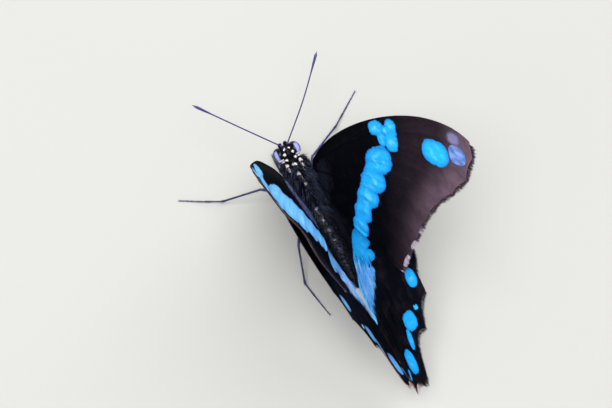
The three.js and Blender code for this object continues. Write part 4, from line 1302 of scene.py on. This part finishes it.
def leg(name, joints):
    """Thigh, shin with its two spurs, five foot joints and a pair of claws."""
    hip, knee, ankle, toe = (under_hinges(p) for p in joints)
    shape = Shape()
    share = np.linspace(0, 1, 22)
    belly = np.sin(np.pi * share)
    shape.tube(hip + (knee - hip) * share[:, None],
               THIGH["thick"] - THIGH["taper"] * share + THIGH["belly"] * belly, 14)
    shape.ball(knee, (KNEE, KNEE, KNEE), 16, 12)
    shape.tube(knee + (ankle - knee) * share[:, None],
               SHIN["thick"] + SHIN["flare"] * smooth(share, 0.85, 1.0) - SHIN["waist"] * belly, 12)
    along = unit(ankle - knee)
    for way in (-0.5, 0.5):
        aside = unit(np.cross(along, (0, 0, 1))) * way
        reach = along * SPUR["along"] + aside * SPUR["aside"] + (0, 0, -SPUR["down"])
        spur = ankle + np.linspace(0, 1, 6)[:, None] * reach
        shape.tube(spur, np.linspace(SPUR["thick"], SPUR["point"], 6), 6)
    heel = ankle + (toe - ankle) * FOOT["heel"]
    heel[2] = FOOT["heel_height"]
    line = curve_through([ankle, heel, toe], 61)
    reach = np.linspace(0, 1, 61)
    for first, last in zip(FOOT["joints"][:-1], FOOT["joints"][1:]):
        inside = (reach >= first - 1e-6) & (reach <= last + 1e-6)
        where = (reach[inside] - first) / (last - first)
        radius = FOOT["thick"] - FOOT["taper"] * first + FOOT["flare"] * smooth(where, 0.5, 1.0)
        shape.tube(line[inside], radius - 0.02 * (1 - smooth(where, 0, 0.15)), 10)
    way = unit((toe - heel) * (1, 1, 0))
    for turn_side in (-1, 1):
        aside = np.cross(way, (0, 0, 1)) * turn_side
        claw = [toe + way * ahead + aside * out + (0, 0, up) for ahead, out, up in CLAW["line"]]
        shape.tube(curve_through(claw, 10), np.linspace(CLAW["thick"], CLAW["point"], 10), 6)
    nodes = [part + "_" + name for part in ("femur", "tibia", "tarsus")]
    piece("leg_" + name, hold_painted_sheen(shape.mesh("leg", (LOOKS["chitin"],))), nodes)
    carrier = shape.mesh("bristle carrier", ())
    places = np.concatenate(shape.points)
    count = len(places)
    hold(carrier, "lie", unit(toe - places + (0, 0, -0.4)))
    hold(carrier, "cover", smooth(np.linalg.norm(toe - places, axis=1), 0.3, 0.9))
    hold(carrier, "long", np.ones(count))
    hold(carrier, "dots", np.zeros(count))
    unwrap_round(carrier, places, np.array([hip, knee, ankle, heel, toe]))
    coat("bristles_" + name, carrier, LOOKS["hair"], "bristle")


for leg_name, leg_joints in LEGS.items():
    leg(leg_name, leg_joints)


# ------------------------------------------------------------------ stage

FLOOR_HALF = 900
# Each lamp's place and size in metres, and its power in watts.
LAMPS = {
    "key": ((0.05, -0.03, 0.5), 0.22, 3.7),
    "side": ((-0.24, -0.2, 0.4), 0.4, 1.5),
    "fill": ((0.4, 0.1, 0.36), 0.4, 0.4),
    "back": ((0.0, 0.42, 0.34), 0.4, 0.5),
}
LAMPS_AIM = (0, 0, 0.02)
ROOM = {"colour": (0.86, 0.92, 1.0, 1.0), "strength": 0.45}


def floor_paint(tree):
    return {"Base Color": rgb("A3A29E")}


def stage():
    """The pale floor, the room's even light and the lamps."""
    corners = [(x * FLOOR_HALF, y * FLOOR_HALF, 0) for x, y in ((-1, -1), (1, -1), (1, 1), (-1, 1))]
    floor = mesh_of("floor", corners, np.array([(0, 1, 2, 3)]))
    floor.materials.append(look("pale floor", floor_paint, roughness=0.9, specular_ior_level=0.2))
    ground = bpy.data.objects.new("floor", floor)
    bpy.context.scene.collection.objects.link(ground)

    world = bpy.data.worlds.new("soft room")
    world.use_nodes = True
    world.node_tree.nodes["Background"].inputs["Color"].default_value = ROOM["colour"]
    world.node_tree.nodes["Background"].inputs["Strength"].default_value = ROOM["strength"]
    bpy.context.scene.world = world

    for name, (place, size, watts) in LAMPS.items():
        lamp = bpy.data.lights.new(name, "AREA")
        lamp.energy, lamp.size = watts, size
        holder = bpy.data.objects.new(name, lamp)
        holder.location = place
        holder.rotation_euler = (Vector(LAMPS_AIM) - Vector(place)).to_track_quat("-Z", "Y").to_euler()
        bpy.context.scene.collection.objects.link(holder)


# Almost straight above, turned so that the head points up and to the left. Lengths in millimetres, turns in
# degrees.
CAMERA = {"distance": 220.0, "lens": 83.19, "sensor": 36.0, "forward_tilt": 7.297, "side_tilt": 3.195,
          "roll": 26.173, "shift": (1.193, -4.672)}


def to_part(v):
    """A direction given as forwards, left and up, on the body's own axes."""
    return np.array((v[1], -v[0], v[2]))


def camera():
    tilt, aside, roll = (math.radians(CAMERA[k]) for k in ("forward_tilt", "side_tilt", "roll"))
    # In the body's own axes: forwards, left, up.
    towards = np.array((math.sin(aside), math.cos(aside) * math.sin(tilt), math.cos(aside) * math.cos(tilt)))
    ahead = unit(np.array((1.0, 0, 0)) - towards[0] * towards)
    right = np.cross(ahead, towards)
    across = math.cos(roll) * right - math.sin(roll) * ahead
    up = math.sin(roll) * right + math.cos(roll) * ahead
    place = across * CAMERA["shift"][0] + up * CAMERA["shift"][1] + towards * CAMERA["distance"]
    turned = np.stack([BODY @ to_part(v) for v in (across, up, towards)], 1)
    data = bpy.data.cameras.new("camera")
    data.lens, data.sensor_width, data.sensor_fit = CAMERA["lens"], CAMERA["sensor"], "HORIZONTAL"
    data.clip_start, data.clip_end = 0.01, 10.0
    holder = bpy.data.objects.new("camera", data)
    where = on_floor(to_part(place)) * MM
    holder.matrix_world = Matrix.Translation(where.tolist()) @ Matrix(turned.tolist()).to_4x4()
    bpy.context.scene.collection.objects.link(holder)
    bpy.context.scene.camera = holder


stage()
camera()
bpy.context.scene.view_settings.view_transform = "Standard"

bpy.context.view_layer.update()
